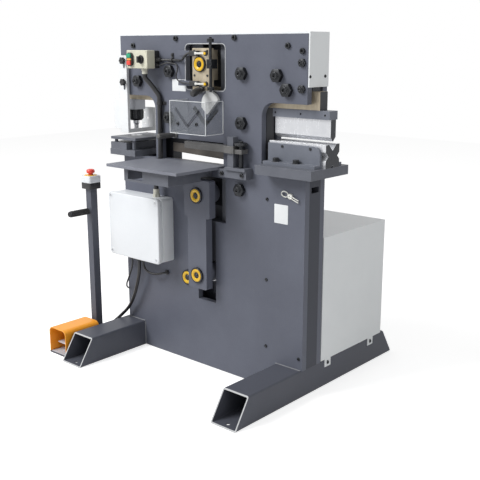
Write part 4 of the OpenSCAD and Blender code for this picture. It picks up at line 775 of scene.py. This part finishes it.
# Angle station: a box of clear sheet with bright sawn edges and the bar's chevron cut in its
# face; behind it hangs the pale presser, set by its black grip.
CLEAR = ((0.24, 0.26, 0.28), (0.32, 0.34, 0.36))
CUT_EDGE = ((0.76, 0.79, 0.80), (0.86, 0.88, 0.89))
PALE = ((0.60, 0.61, 0.61), (0.70, 0.71, 0.71))
GUARD_X, GUARD_Z, GUARD_FRONT = (-108, 105), (1089, 1228), -175
EDGE_W, EDGE_IN = 2.4, 0.8
GUARD_BOLTS = [(-58, 1131), (53, 1134)]
VEE_VERTEX, VEE_REACH, VEE_TRIM, TRIM_OUT, TRIM_T = 1116, 78, 7.0, 0.6, 0.0012
GRIP_X, GRIP_TILT, GRIP_START, GRIP_HEIGHT = 15, radians(18), -103, 1276
GRIP = [(8.4, 5), (8.6, 7.6), (12.8, 12), (14.6, 20), (15.4, 34), (15, 48), (13.6, 57), (10.5, 62.6),
        (0.1, 63.6)]
GRIP_BLOCK, GRIP_BLOCK_BACK = (25, 25, 12.6), -95.2
clear_sheet = surface("clear_sheet", CLEAR, (0.06, 0.16), mottle=8, relief=0.03, Alpha=0.16,
                      Specular_IOR_Level=0.4)
bright_edge = surface("bright_edge", CUT_EDGE, (0.2, 0.35), mottle=30)
pale_paint = surface("pale_paint", PALE, (0.3, 0.45), mottle=16, worn=(0.5, 0.5, 0.5), wear=0.4)
wear_finish(clear_sheet, "angle_guard")
wear_finish(pale_paint, "angle_hold_down")


def bar(shape, a, b):
    """A thin square strip between two places, along x, y or z."""
    a, b = at(*a), at(*b)
    along = (b - a).normalized()
    side = Vector(BACK if abs(along.x) > 0.9 else RIGHT)
    other = along.cross(side)
    ring = [(side * i + other * j) * EDGE_W / 2000 for i, j in ((1, 1), (-1, 1), (-1, -1), (1, -1))]
    skin(shape, [[end + offset for offset in ring] for end in (a, b)])


edges = bmesh.new()
x0, x1 = GUARD_X[0] + EDGE_IN, GUARD_X[1] - EDGE_IN
z0, z1 = GUARD_Z[0] + EDGE_IN, GUARD_Z[1] - EDGE_IN
y0, y1 = GUARD_FRONT + EDGE_IN, PLATE_FRONT - 1
for a, b in (
    ((x0, y0, z0), (x0, y0, z1)), ((x1, y0, z0), (x1, y0, z1)), ((x0, y0, z1), (x1, y0, z1)),
    ((x1, y0, z1), (x1, y1, z1)), ((x1, y0, z0), (x1, y1, z0)), ((x0, y0, z1), (x0, y1, z1)),
    ((x1, y1, z0), (x1, y1, z1)), ((x0, y0, z0), (x1, y0, z0)), ((x0, y0, z0), (x0, y1, z0)),
):
    bar(edges, a, b)
finish_piece("guard_edges", edges, bright_edge, "frame", "clear_guard")
screws("guard_bolts", 8, facing_front(GUARD_BOLTS, GUARD_FRONT))
trim = bmesh.new()
for side in (-1, 1):
    a = at(0, GUARD_FRONT - TRIM_OUT, VEE_VERTEX + VEE_TRIM)
    b = at(side * (VEE_REACH - 5), GUARD_FRONT - TRIM_OUT, VEE_VERTEX + VEE_REACH + 1)
    across_leg = (b - a).normalized().cross(Vector(FRONT)) * VEE_TRIM / 2000
    depth, half = Vector(BACK) * TRIM_T, across_leg * 0.3
    for shift in (-1, 1):
        middle = across_leg * shift * 1.25
        ring = [half, half + depth, depth - half, -half]
        skin(trim, [[end + middle + offset for offset in ring] for end in (a, b)])
finish_piece("guard_trim", trim, black_plastic, "frame", "clear_guard")
grip = turned(bmesh.new(), GRIP, at(GRIP_X, GRIP_START, GRIP_HEIGHT),
              (0, -cos(GRIP_TILT), -sin(GRIP_TILT)), 28)
slab(grip, (GRIP_X, GRIP_BLOCK_BACK, GRIP_HEIGHT), GRIP_BLOCK, FRONT, 2.2, 4)
finish_piece("presser_grip", grip, black_plastic, "ram", "black_plastic")


# Flat bar station: a plate table on a welded support, a hold-down bar that slides on a square
# post and is set by a screw with a knurled hand wheel, and a turned handle on the plate.
# The shear table's grey is a paler copy of the grey paint: painted light on its top.
LIT_TABLE_GREY = ((0.176, 0.184, 0.217), (0.228, 0.238, 0.276))
BAR_STEEL = ((0.10, 0.099, 0.098), (0.17, 0.168, 0.165))
HOLD_SCREW = (229, -93)
KNURL_Z, KNURL_R, KNURL_COUNT, KNURL = 1053.5, 26.6, 40, [(1.0, 0), (1.0, 7), (0.4, 8)]
SUPPORT_FACE, SUPPORT_BOLTS = -105, [(133, 929), (245, 929)]
# The paler grey stands in for the light falling on the table's top: painted light.
lit_table_grey = paint("lit_table_grey", LIT_TABLE_GREY, (0.34, 0.5), mottle=9, wear=0.8)
bar_steel = paint("bar_steel", BAR_STEEL, (0.3, 0.45), mottle=18, grain=(10, 700, 700),
                  worn=(0.5, 0.5, 0.5), wear=0.8, Metallic=0.3)
wear_finish(lit_table_grey, "shear_table")
wear_finish(worn_grey, "table_support", "hold_down_frame")
wear_finish(bar_steel, "hold_down_bar", "front_handle")
wear_finish(black_steel, "hold_down_screw")
knurl_places = circle_places(*HOLD_SCREW, KNURL_Z, KNURL_R, KNURL_COUNT)
scatter("wheel_knurl", turned(bmesh.new(), KNURL, steps=6), knurl_places, black_steel,
        "hold_down_screw_body", "nut_steel")
screws("support_bolts", 9, facing_front(SUPPORT_BOLTS, SUPPORT_FACE), 0.8)


# Switch box: a beige moulded lid on a black base, with an oval black bezel that holds a green
# start button, an amber lamp and a red stop button, and a black selector beside it.
BEIGE = ((0.56, 0.55, 0.44), (0.66, 0.64, 0.52))
AMBER = ((0.82, 0.30, 0.06), (0.92, 0.42, 0.10))
GREEN = ((0.010, 0.25, 0.13), (0.02, 0.36, 0.19))
RED = ((0.66, 0.045, 0.03), (0.82, 0.08, 0.055))
BOX_X, BOX_Z, BOX_FRONT = -349, 1396, -141
LID_BACK, LID_SIZE, LID_SCREWS = -93.6, (136, 80, 47.4), (60, 33)
BASE_SIZE = (132, 76, 28)
BEZEL_X, BEZEL_SIZE, LIP_INNER, LIP_W, LIP_H, LIP_R = -387, (36, 60, 6), (28, 52), 4, 8, 13.9
LENS_SIZE, LIP_BACK = (25, 9, 11), -145
BUTTON_SIZE, BUTTON_BACK = (25, 19, 12), -147
SELECTOR_X, COLLAR = -320, [(19, 0), (19, 2), (17.4, 3.4), (15.4, 3.4), (15.4, 0.4)]
beige_lid = surface("beige_lid", BEIGE, (0.4, 0.55), mottle=22, relief=0.2)
amber_lens = surface("amber_lens", AMBER, (0.2, 0.3), mottle=60)
green_cap = surface("green_cap", GREEN, (0.3, 0.42), mottle=60)
red_cap = surface("red_cap", RED, (0.3, 0.42), mottle=60)
wear_finish(black_plastic, "selector_knob")


def corners(x, y, reach):
    """The four points that lie a reach to each side of a middle."""
    return [(x + sx * reach[0], y + sy * reach[1]) for sx in (-1, 1) for sy in (-1, 1)]


lid = slab(bmesh.new(), (BOX_X, LID_BACK, BOX_Z), LID_SIZE, FRONT, 2.6, 5)
finish_piece("switch_lid", lid, beige_lid, "frame", "box_plastic", "control_box")
base = slab(bmesh.new(), (BOX_X, PLATE_FRONT, BOX_Z), BASE_SIZE, FRONT, 1.5, 4)
finish_piece("switch_base", base, black_plastic, "frame", "black_plastic")
bezel = slab(bmesh.new(), (BEZEL_X, BOX_FRONT + 1, BOX_Z), BEZEL_SIZE, FRONT, 1.5, 18, 5)
band(bezel, (BEZEL_X, LIP_BACK, BOX_Z), LIP_INNER, FRONT, LIP_W, LIP_H, LIP_R)
finish_piece("button_bezel", bezel, black_plastic, "frame", "black_plastic")
lens = slab(bmesh.new(), (BEZEL_X, LIP_BACK, BOX_Z), LENS_SIZE, FRONT, 1.5)
finish_piece("lamp_lens", lens, amber_lens, "frame", "yellow_cap")
for name, z, finish, slot in (
    ("start", 1411.9, green_cap, "green_plastic"), ("stop", 1380.1, red_cap, "red_plastic"),
):
    cap = slab(bmesh.new(), (BEZEL_X, BUTTON_BACK, z), BUTTON_SIZE, FRONT, 2.4, 3.6)
    finish_piece(name + "_cap", cap, finish, name + "_button_body", slot, name + "_button")
collar = turned(bmesh.new(), COLLAR, at(SELECTOR_X, BOX_FRONT, BOX_Z), FRONT, 36)
finish_piece("selector_collar", collar, black_plastic, "frame", "black_plastic")
lid_screws = facing_front(corners(BOX_X, BOX_Z, LID_SCREWS), BOX_FRONT)
screws("lid_screws", 3.4, lid_screws, 0.3, beige_lid, slot="box_plastic")


# Enclosure: a white moulded box screwed to the plate, with a deep lid whose front edges are
# well rounded, a shadow groove where lid and box meet, and a screw in each corner.
MOULDED = ((0.75, 0.775, 0.805), (0.81, 0.835, 0.86))
CASE_X, CASE_Z, CASE_FRONT = -382, 625, -165
CASE_LID_BACK, CASE_LID_SIZE = -144, (346, 306, 21)
CASE_SIZE, GROOVE_BACK, GROOVE_SIZE = (340, 300, 70), -133, (326, 286, 10.6)
CASE_SCREWS, WELL_BACK = (155, 135), CASE_FRONT + 0.6
WELL = [(15, 0), (15, 0.6), (13.6, 1.6), (8.4, 1.6), (7.6, 0.5)]
white_moulded = surface("white_moulded", MOULDED, (0.32, 0.45), mottle=4, relief=0.08)
case_lid = slab(bmesh.new(), (CASE_X, CASE_LID_BACK, CASE_Z), CASE_LID_SIZE, FRONT, 5, 14, 6)
finish_piece("case_lid", case_lid, white_moulded, "frame", "white_sheet", "enclosure_lid")
case_box = slab(bmesh.new(), (CASE_X, PLATE_FRONT, CASE_Z), CASE_SIZE, FRONT, 2.0, 12, 4)
slab(case_box, (CASE_X, GROOVE_BACK, CASE_Z), GROOVE_SIZE, FRONT, 0.5, 8, 2)
finish_piece("case_box", case_box, white_moulded, "frame", "white_sheet", "enclosure_base")
case_screws = facing_front(corners(CASE_X, CASE_Z, CASE_SCREWS), WELL_BACK)
scatter("case_wells", turned(bmesh.new(), WELL), case_screws, white_moulded, "frame", "white_sheet")
screws("case_screws", 6, case_screws, 0.4, ground_steel, slot="white_sheet")


# Limit switches: two black switch bodies on bent sheet arms in the plates' slate, each with a
# pale steel lever that carries a black roller with a yellow hub, which the rod's collars meet.
LEVER_STEEL = ((0.62, 0.62, 0.58), (0.74, 0.74, 0.70))
SWITCH_ZS, SWITCH_H, SWITCH_FRONT = {"upper": 1424, "lower": 1298}, 22, -115
ARM_LEGS = (((-140, -65), 30, FRONT), ((-128, -83), 36, RIGHT), ((-62, -98), 126, FRONT))
ARM_T, ARM_FACE, ARM_SCREW_XS = 3, -68, (-148, -134)
BODY, BODY_SIZE = (-23, -101), (48, SWITCH_H, 14)
PANEL_X, PANEL_SIZE = -14, (26, SWITCH_H - 4, 1.2)
BUSH = [(8.5, 0), (8.5, 1.6), (7.6, 2.2), (6.4, 2.2), (6.4, 0.2)]
PIVOT_X, ROLLER_X, LEVER_BACK, LEVER_SIZE = -6, 48, -115.3, (62, 8, 3)
PIVOT_HEAD, PIVOT_PIN = [(6, 0), (6, 3), (4.6, 3.6), (0.1, 3.6)], [(2.5, -9), (2.5, 0.2)]
ROLLER_PIN = [(3.4, -9.2), (3.4, 2.0)]
ROLLER = [(3.5, 0), (9.6, 0), (10.8, 1.2), (10.8, 7.8), (9.6, 9), (3.5, 9)]
ROLLER_HUB = [(6.4, -0.2), (6.4, 3.2), (5.4, 4.2), (0.1, 4.6)]
lever_steel = surface("lever_steel", LEVER_STEEL, (0.3, 0.42), mottle=40, grain=(40, 900, 900),
                      Metallic=0.2)
arms, bodies = bmesh.new(), bmesh.new()
for z in SWITCH_ZS.values():
    for place, reach, axis in ARM_LEGS:
        slab(arms, (*place, z), (reach, SWITCH_H, ARM_T), axis, 0.6)
    slab(bodies, (*BODY, z), BODY_SIZE, FRONT, 1.6)
    slab(bodies, (PANEL_X, SWITCH_FRONT, z), PANEL_SIZE, FRONT, 0.5)
    turned(bodies, BUSH, at(PIVOT_X, SWITCH_FRONT, z), FRONT, 28)
finish_piece("switch_arms", arms, slate_coat, "frame", "switch_body", "limit_switches")
finish_piece("switch_bodies", bodies, black_plastic, "frame", "black_plastic")
arm_spots = [(x, z) for x in ARM_SCREW_XS for z in SWITCH_ZS.values()]
screws("arm_screws", 4, facing_front(arm_spots, ARM_FACE), finish=ground_steel, slot="bright_steel")
for name, z in SWITCH_ZS.items():
    body = name + "_switch_lever_body"
    pivot, axle = at(PIVOT_X, LEVER_BACK, z), at(ROLLER_X, LEVER_BACK, z)
    lever = slab(bmesh.new(), ((PIVOT_X + ROLLER_X) / 2, LEVER_BACK, z), LEVER_SIZE, FRONT, 0.8, 3.9)
    turned(lever, PIVOT_HEAD, pivot, FRONT, 24)
    turned(lever, PIVOT_PIN, pivot, FRONT, 16)
    turned(lever, ROLLER_PIN, axle, FRONT, 20)
    finish_piece(name + "_lever", lever, lever_steel, body, "bright_steel", name + "_switch_lever")
    roller = turned(bmesh.new(), ROLLER, axle, BACK)
    finish_piece(name + "_roller", roller, black_plastic, body, "black_plastic")
    hub = turned(bmesh.new(), ROLLER_HUB, axle, FRONT, 28)
    finish_piece(name + "_hub", hub, yellow_gloss, body, "yellow_cap")


# Held cables: a conduit with fine, shallow ribs from the switch box to the enclosure, the two
# switch leads and the supply lead, all black rubber, clipped to the plate, with moulded glands
# where they enter the boxes.
CONDUIT_D, RIB_PITCH, RIB_DEPTH, RIB_STEPS, CONDUIT_SIDES = 22, 0.005, 0.03, 6.0, 20
CONDUIT = [
    (-332, -110, 1332), (-332, -110, 1318), (-314, -101, 1294), (-294, -86, 1262), (-275, -79, 1232),
    (-273, -79, 1212), (-273, -79, 1190), (-273, -79, 1100), (-274, -79, 1000), (-275, -80, 950),
    (-278, -88, 900), (-283, -100, 850), (-283, -103, 828), (-283, -103, 812),
]
HELD_LEADS = {
    "switch_lead": (10, [
        (-255, -81, 1394), (-245, -81, 1394), (-228, -77, 1394), (-207, -73, 1394), (-183, -73, 1394),
        (-155, -75, 1393), (-125, -83, 1393), (-100, -100, 1396), (-78, -113, 1408), (-60, -110, 1422),
        (-53, -108, 1424), (-47, -108, 1424),
    ]),
    "thin_lead": (6, [
        (-265, -85, 1372), (-254, -85, 1372), (-228, -78, 1380), (-195, -71, 1380), (-168, -71, 1373),
        (-158, -77, 1350), (-150, -92, 1328), (-130, -106, 1314), (-100, -111, 1302), (-60, -109, 1298),
        (-47, -109, 1298),
    ]),
    "supply_lead": (8, [
        (-450, -117, 452), (-450, -117, 436), (-458, -115, 408), (-478, -111, 370), (-503, -103, 335),
        (-530, -90, 305), (-552, -70, 280), (-565, -44, 262), (-566, -22, 251), (-560, -6, 246),
        (-553, 0, 246), (-545, 0, 246),
    ]),
}
GLAND_BLACK = ((0.014, 0.014, 0.016), (0.030, 0.030, 0.033))
CREAM_GLANDS, CREAM = ((1.330, 1.357), (0.774, 0.815)), (0.62, 0.61, 0.53)


def conduit_tree():
    """Sweeps a ring along a curve, its radius waving once for every rib."""
    tree, given = open_tree("ribbed_conduit", "Conduit", Path="Geometry", Radius="Float", Pitch="Float",
                            Depth="Float", Finish="Material")
    step = maths(tree, "DIVIDE", given["Pitch"], RIB_STEPS)
    even = add_node(tree, "GeometryNodeResampleCurve", {
        "Curve": given["Path"], "Length": step,
    }, mode="LENGTH")
    travel = tree.nodes.new("GeometryNodeSplineParameter").outputs["Length"]
    phase = maths(tree, "DIVIDE", maths(tree, "MULTIPLY", travel, tau), given["Pitch"])
    swing = maths(tree, "ABSOLUTE", maths(tree, "SINE", maths(tree, "MULTIPLY", phase, 0.5)))
    wave = maths(tree, "SUBTRACT", 1.0, maths(tree, "MULTIPLY", given["Depth"], swing))
    ring = add_node(tree, "GeometryNodeCurvePrimitiveCircle", {
        "Resolution": CONDUIT_SIDES, "Radius": given["Radius"],
    })
    sweep = add_node(tree, "GeometryNodeCurveToMesh", {
        "Curve": even.outputs["Curve"], "Profile Curve": ring.outputs["Curve"], "Scale": wave,
        "Fill Caps": True,
    })
    return close_tree(tree, sweep.outputs["Mesh"], given["Finish"])


ribbed = conduit_tree()


def swept_lead(name, route, diameter, depth, *replaced):
    path = lead_curve(name + "_path", route, diameter)
    path.data.bevel_depth = 0
    mesh = grow(name, path, ribbed, Radius=diameter / 2000, Pitch=RIB_PITCH, Depth=depth,
                Finish=cable_rubber)
    return place_piece(name, mesh, "frame", "cable_rubber", *replaced)


swept_lead("ribbed_conduit", CONDUIT, CONDUIT_D, RIB_DEPTH, "switch_cables")
for name, (diameter, route) in HELD_LEADS.items():
    swept_lead(name, route, diameter, 0.0)
gland_plastic = surface("gland_plastic", GLAND_BLACK, (0.4, 0.55), mottle=40, relief=0.25)
height_zones(gland_plastic, CREAM_GLANDS, CREAM)
wear_finish(gland_plastic, "cable_fittings")


# Covers: the folded top cover and the power unit's sheet cover in pale grey enamel, held by
# black screws in the end leg and in the slotted tabs on the skid. Two columns of pressed
# louvres in the power cover's rear face let the motor's warm air out; a black strip in each
# louvre's opening is painted shade in place of the cover's dark inside.
ENAMEL = ((0.80, 0.83, 0.845), (0.875, 0.90, 0.91))
LEG_SCREWS = [(552, -59.4, 1338.6), (552, 39.4, 1338.6)]
TAB_SCREWS = [(540, 129, 108), (540, 472, 108)]
COVER_BACK, EDGE_XS, EDGE_ZS = 560, (124, 516), (156, 352, 548)
LOUVRE_W, LOUVRE_STEP, LOUVRE_ROWS, LOUVRE_TOP, LOUVRE_XS = 120, 26, 8, 520, (230, 410)
LOUVRE_RINGS = ((0, 20, 0), (1.6, 15, 1.8), (3.6, 10, 4.2), (4.6, 6.5, 5.7), (4.9, 4, 6.4))
MOUTH_W, MOUTH_H, MOUTH_R, MOUTH_DROP, MOUTH_OUT = 98, 2.6, 1, 10.3, 2.2
pale_enamel = surface("pale_enamel", ENAMEL, (0.3, 0.42), mottle=2.5, relief=0.04, worn=(0.6, 0.62, 0.63),
                      wear=0.3)
wear_finish(pale_enamel, "top_cover", "power_cover")
wear_finish(slate_deep, "power_pack")
screws("leg_screws", 6.2, [(place, RIGHT) for place in LEG_SCREWS])
screws("tab_screws", 7.5, [(place, RIGHT) for place in TAB_SCREWS])
louvre_places = [((x, COVER_BACK, LOUVRE_TOP - row * LOUVRE_STEP), BACK)
                 for x in LOUVRE_XS for row in range(LOUVRE_ROWS)]


def lowered(outline, drop, rise):
    """An outline drawn about +Z, moved down the face and out of it."""
    return [Vector((a, b + drop, rise)) / 1000 for a, b in outline]


louvre = skin(bmesh.new(), [lowered(round_rect(LOUVRE_W - 3 * rise, tall, tall / 2.2), drop, rise)
                            for rise, tall, drop in LOUVRE_RINGS])
scatter("cover_louvres", louvre, louvre_places, pale_enamel, "frame", "pale_sheet")
# Each louvre's opening is a black strip: painted shade in place of the dark inside of the cover.
mouth_outline = round_rect(MOUTH_W, MOUTH_H, MOUTH_R)
mouth_shade = skin(bmesh.new(), [lowered(mouth_outline, MOUTH_DROP, rise) for rise in (0, MOUTH_OUT)])
scatter("louvre_mouths", mouth_shade, louvre_places, black_plastic, "frame", "pale_sheet")
screws("cover_screws", 6.2, [((x, COVER_BACK, z), BACK) for x in EDGE_XS for z in EDGE_ZS])


# Pedal stand: a base plate with a square post, a black foam grip, a stop station of black base,
# pale lid and yellow ring with its red mushroom, and an orange hood over a ribbed foot lever
# and a ribbed steel mat.
STAND = ((0.084, 0.090, 0.113), (0.108, 0.115, 0.142))
ORANGE = ((0.95, 0.35, 0.020), (1.0, 0.42, 0.030))
TREAD = ((0.50, 0.53, 0.58), (0.66, 0.69, 0.74))
STAND_X, STAND_Y, POST_TOP = -645, -195, 785
SLEEVE_Y, SLEEVE_Z = STAND_Y - 19, 676
SLEEVE = [(14.2, 6), (15.2, 8), (15.4, 60), (15, 110), (12, 118.4), (6, 118.8), (0.1, 118.8)]
STATION_BASE, STATION_LID, LID_LOW, LID_TOP = (68, 68, 30), (70, 70, 34), POST_TOP + 30, POST_TOP + 64
STATION_RING, STATION_SCREWS = [(30, 0), (30, 2), (29, 3), (13, 3), (12.4, 2.4), (12.4, 0)], (28, 28)
TREAD_RIBS, TREAD_Y, TREAD_STEP, TREAD_Z, TREAD_CLIMB, TREAD_SIZE = 9, -300, 11.5, 49.2, 0.31, (74, 5, 2.2)
MAT_Y, MAT_Z, MAT_SIZE = -349, 6, (114, 174, 1.2)
MAT_RIBS, MAT_RIB_Y, MAT_STEP, MAT_RIB_SIZE = 11, -428, 15, (108, 4, 1.4)
stand_coat = paint("stand_coat", STAND, (0.36, 0.5), wear=0.4)
orange_gloss = surface("orange_gloss", ORANGE, (0.3, 0.42), mottle=8, relief=0.1)
foam = surface("foam", PLASTIC, (0.7, 0.9), mottle=60, grain=(1400, 1400, 1400), relief=0.6)
tread_steel = surface("tread_steel", TREAD, (0.35, 0.5), mottle=20, Metallic=0.2)
wear_finish(stand_coat, "pedal_stand")
wear_finish(orange_gloss, "pedal_hood")
wear_finish(red_cap, "stop_mushroom")
wear_finish(tread_steel, "pedal_lever")
sleeve = turned(bmesh.new(), SLEEVE, at(STAND_X, SLEEVE_Y, SLEEVE_Z), FRONT)
finish_piece("foam_grip", sleeve, foam, "frame", "black_plastic")
station_base = slab(bmesh.new(), (STAND_X, STAND_Y, POST_TOP), STATION_BASE, TOP, 2, 7)
finish_piece("station_base", station_base, black_plastic, "frame", "black_plastic", "stop_station")
station_lid = slab(bmesh.new(), (STAND_X, STAND_Y, LID_LOW), STATION_LID, TOP, 3, 8)
finish_piece("station_lid", station_lid, white_moulded, "frame", "white_sheet")
station_ring = turned(bmesh.new(), STATION_RING, at(STAND_X, STAND_Y, LID_TOP), TOP, 44)
finish_piece("station_ring", station_ring, yellow_gloss, "frame", "yellow_cap")
station_screws = [((*spot, LID_TOP), TOP) for spot in corners(STAND_X, STAND_Y, STATION_SCREWS)]
screws("station_screws", 3, station_screws, finish=ground_steel, slot="bright_steel")
tread = bmesh.new()
for k in range(TREAD_RIBS):
    slab(tread, (STAND_X, TREAD_Y - TREAD_STEP * k, TREAD_Z + TREAD_CLIMB * k), TREAD_SIZE, TOP, 0.9)
finish_piece("tread_ribs", tread, tread_steel, "pedal_lever_body", "bright_steel")
mat = slab(bmesh.new(), (STAND_X, MAT_Y, MAT_Z), MAT_SIZE, TOP, 0.4, 4)
for k in range(MAT_RIBS):
    slab(mat, (STAND_X, MAT_RIB_Y + MAT_STEP * k, MAT_Z + 1), MAT_RIB_SIZE, TOP, 0.6)
finish_piece("pedal_mat", mat, tread_steel, "frame", "bright_steel")


# Blank plates and the spare pin: two thin white enamelled plates with nothing on them, and a
# spring pin of bent steel wire with its ring, which hangs in a hole of the front plate.
PLATES, PLATE_T = [(-159.5, 1285.5, 85, 51), (423.5, 784, 71, 80)], 0.9
LOOP_X, LOOP_Y, LOOP_Z, LOOP_W, LOOP_DEPTH, LOOP_H, LOOP_STEPS = 447, -72, 871, 17, 3, 12, 30
LOOP_WIRE, LEG_WIRE, WIRE_SIDES = 2.6, 2.4, 10
PIN_LEG, PIN_LEG_DROPS = ((462, -72, 869), (480, -73, 865), (500, -74, 858), (516, -73, 852)), (0, 9)
PIN_HOLE = (473, PLATE_FRONT, 864)
PIN_BUTTON = [(12, -2), (12, 7), (10.5, 9), (5, 9), (4.6, 6.6), (0.1, 6.6)]
blanks = bmesh.new()
for x, z, w, h in PLATES:
    slab(blanks, (x, PLATE_FRONT, z), (w, h, PLATE_T), FRONT, 0.35, 3)
finish_piece("blank_plates", blanks, white_enamel, "frame", "white_sheet")


def wire(shape, points, radius):
    """A round wire along a list of places."""
    points = [at(*p) for p in points]
    turns = [tau * k / WIRE_SIDES for k in range(WIRE_SIDES)]
    rings = []
    for i, p in enumerate(points):
        along = (points[min(i + 1, len(points) - 1)] - points[max(i - 1, 0)]).normalized()
        side = along.cross(Vector((0.2, 0.9, 0.35))).normalized()
        other = along.cross(side)
        rings.append([p + (side * cos(t) + other * sin(t)) * radius / 1000 for t in turns])
    skin(shape, rings)


pin = bmesh.new()
loop = [(cos(tau * k / LOOP_STEPS), sin(tau * k / LOOP_STEPS)) for k in range(LOOP_STEPS)]
wire(pin, [(LOOP_X + LOOP_W * c, LOOP_Y - LOOP_DEPTH * s, LOOP_Z + LOOP_H * s) for c, s in loop], LOOP_WIRE)
for drop in PIN_LEG_DROPS:
    wire(pin, [(x, y, z - drop) for x, y, z in PIN_LEG], LEG_WIRE)
turned(pin, PIN_BUTTON, at(*PIN_HOLE), FRONT, 28)
finish_piece("spare_pin", pin, lever_steel, "frame", "bright_steel")
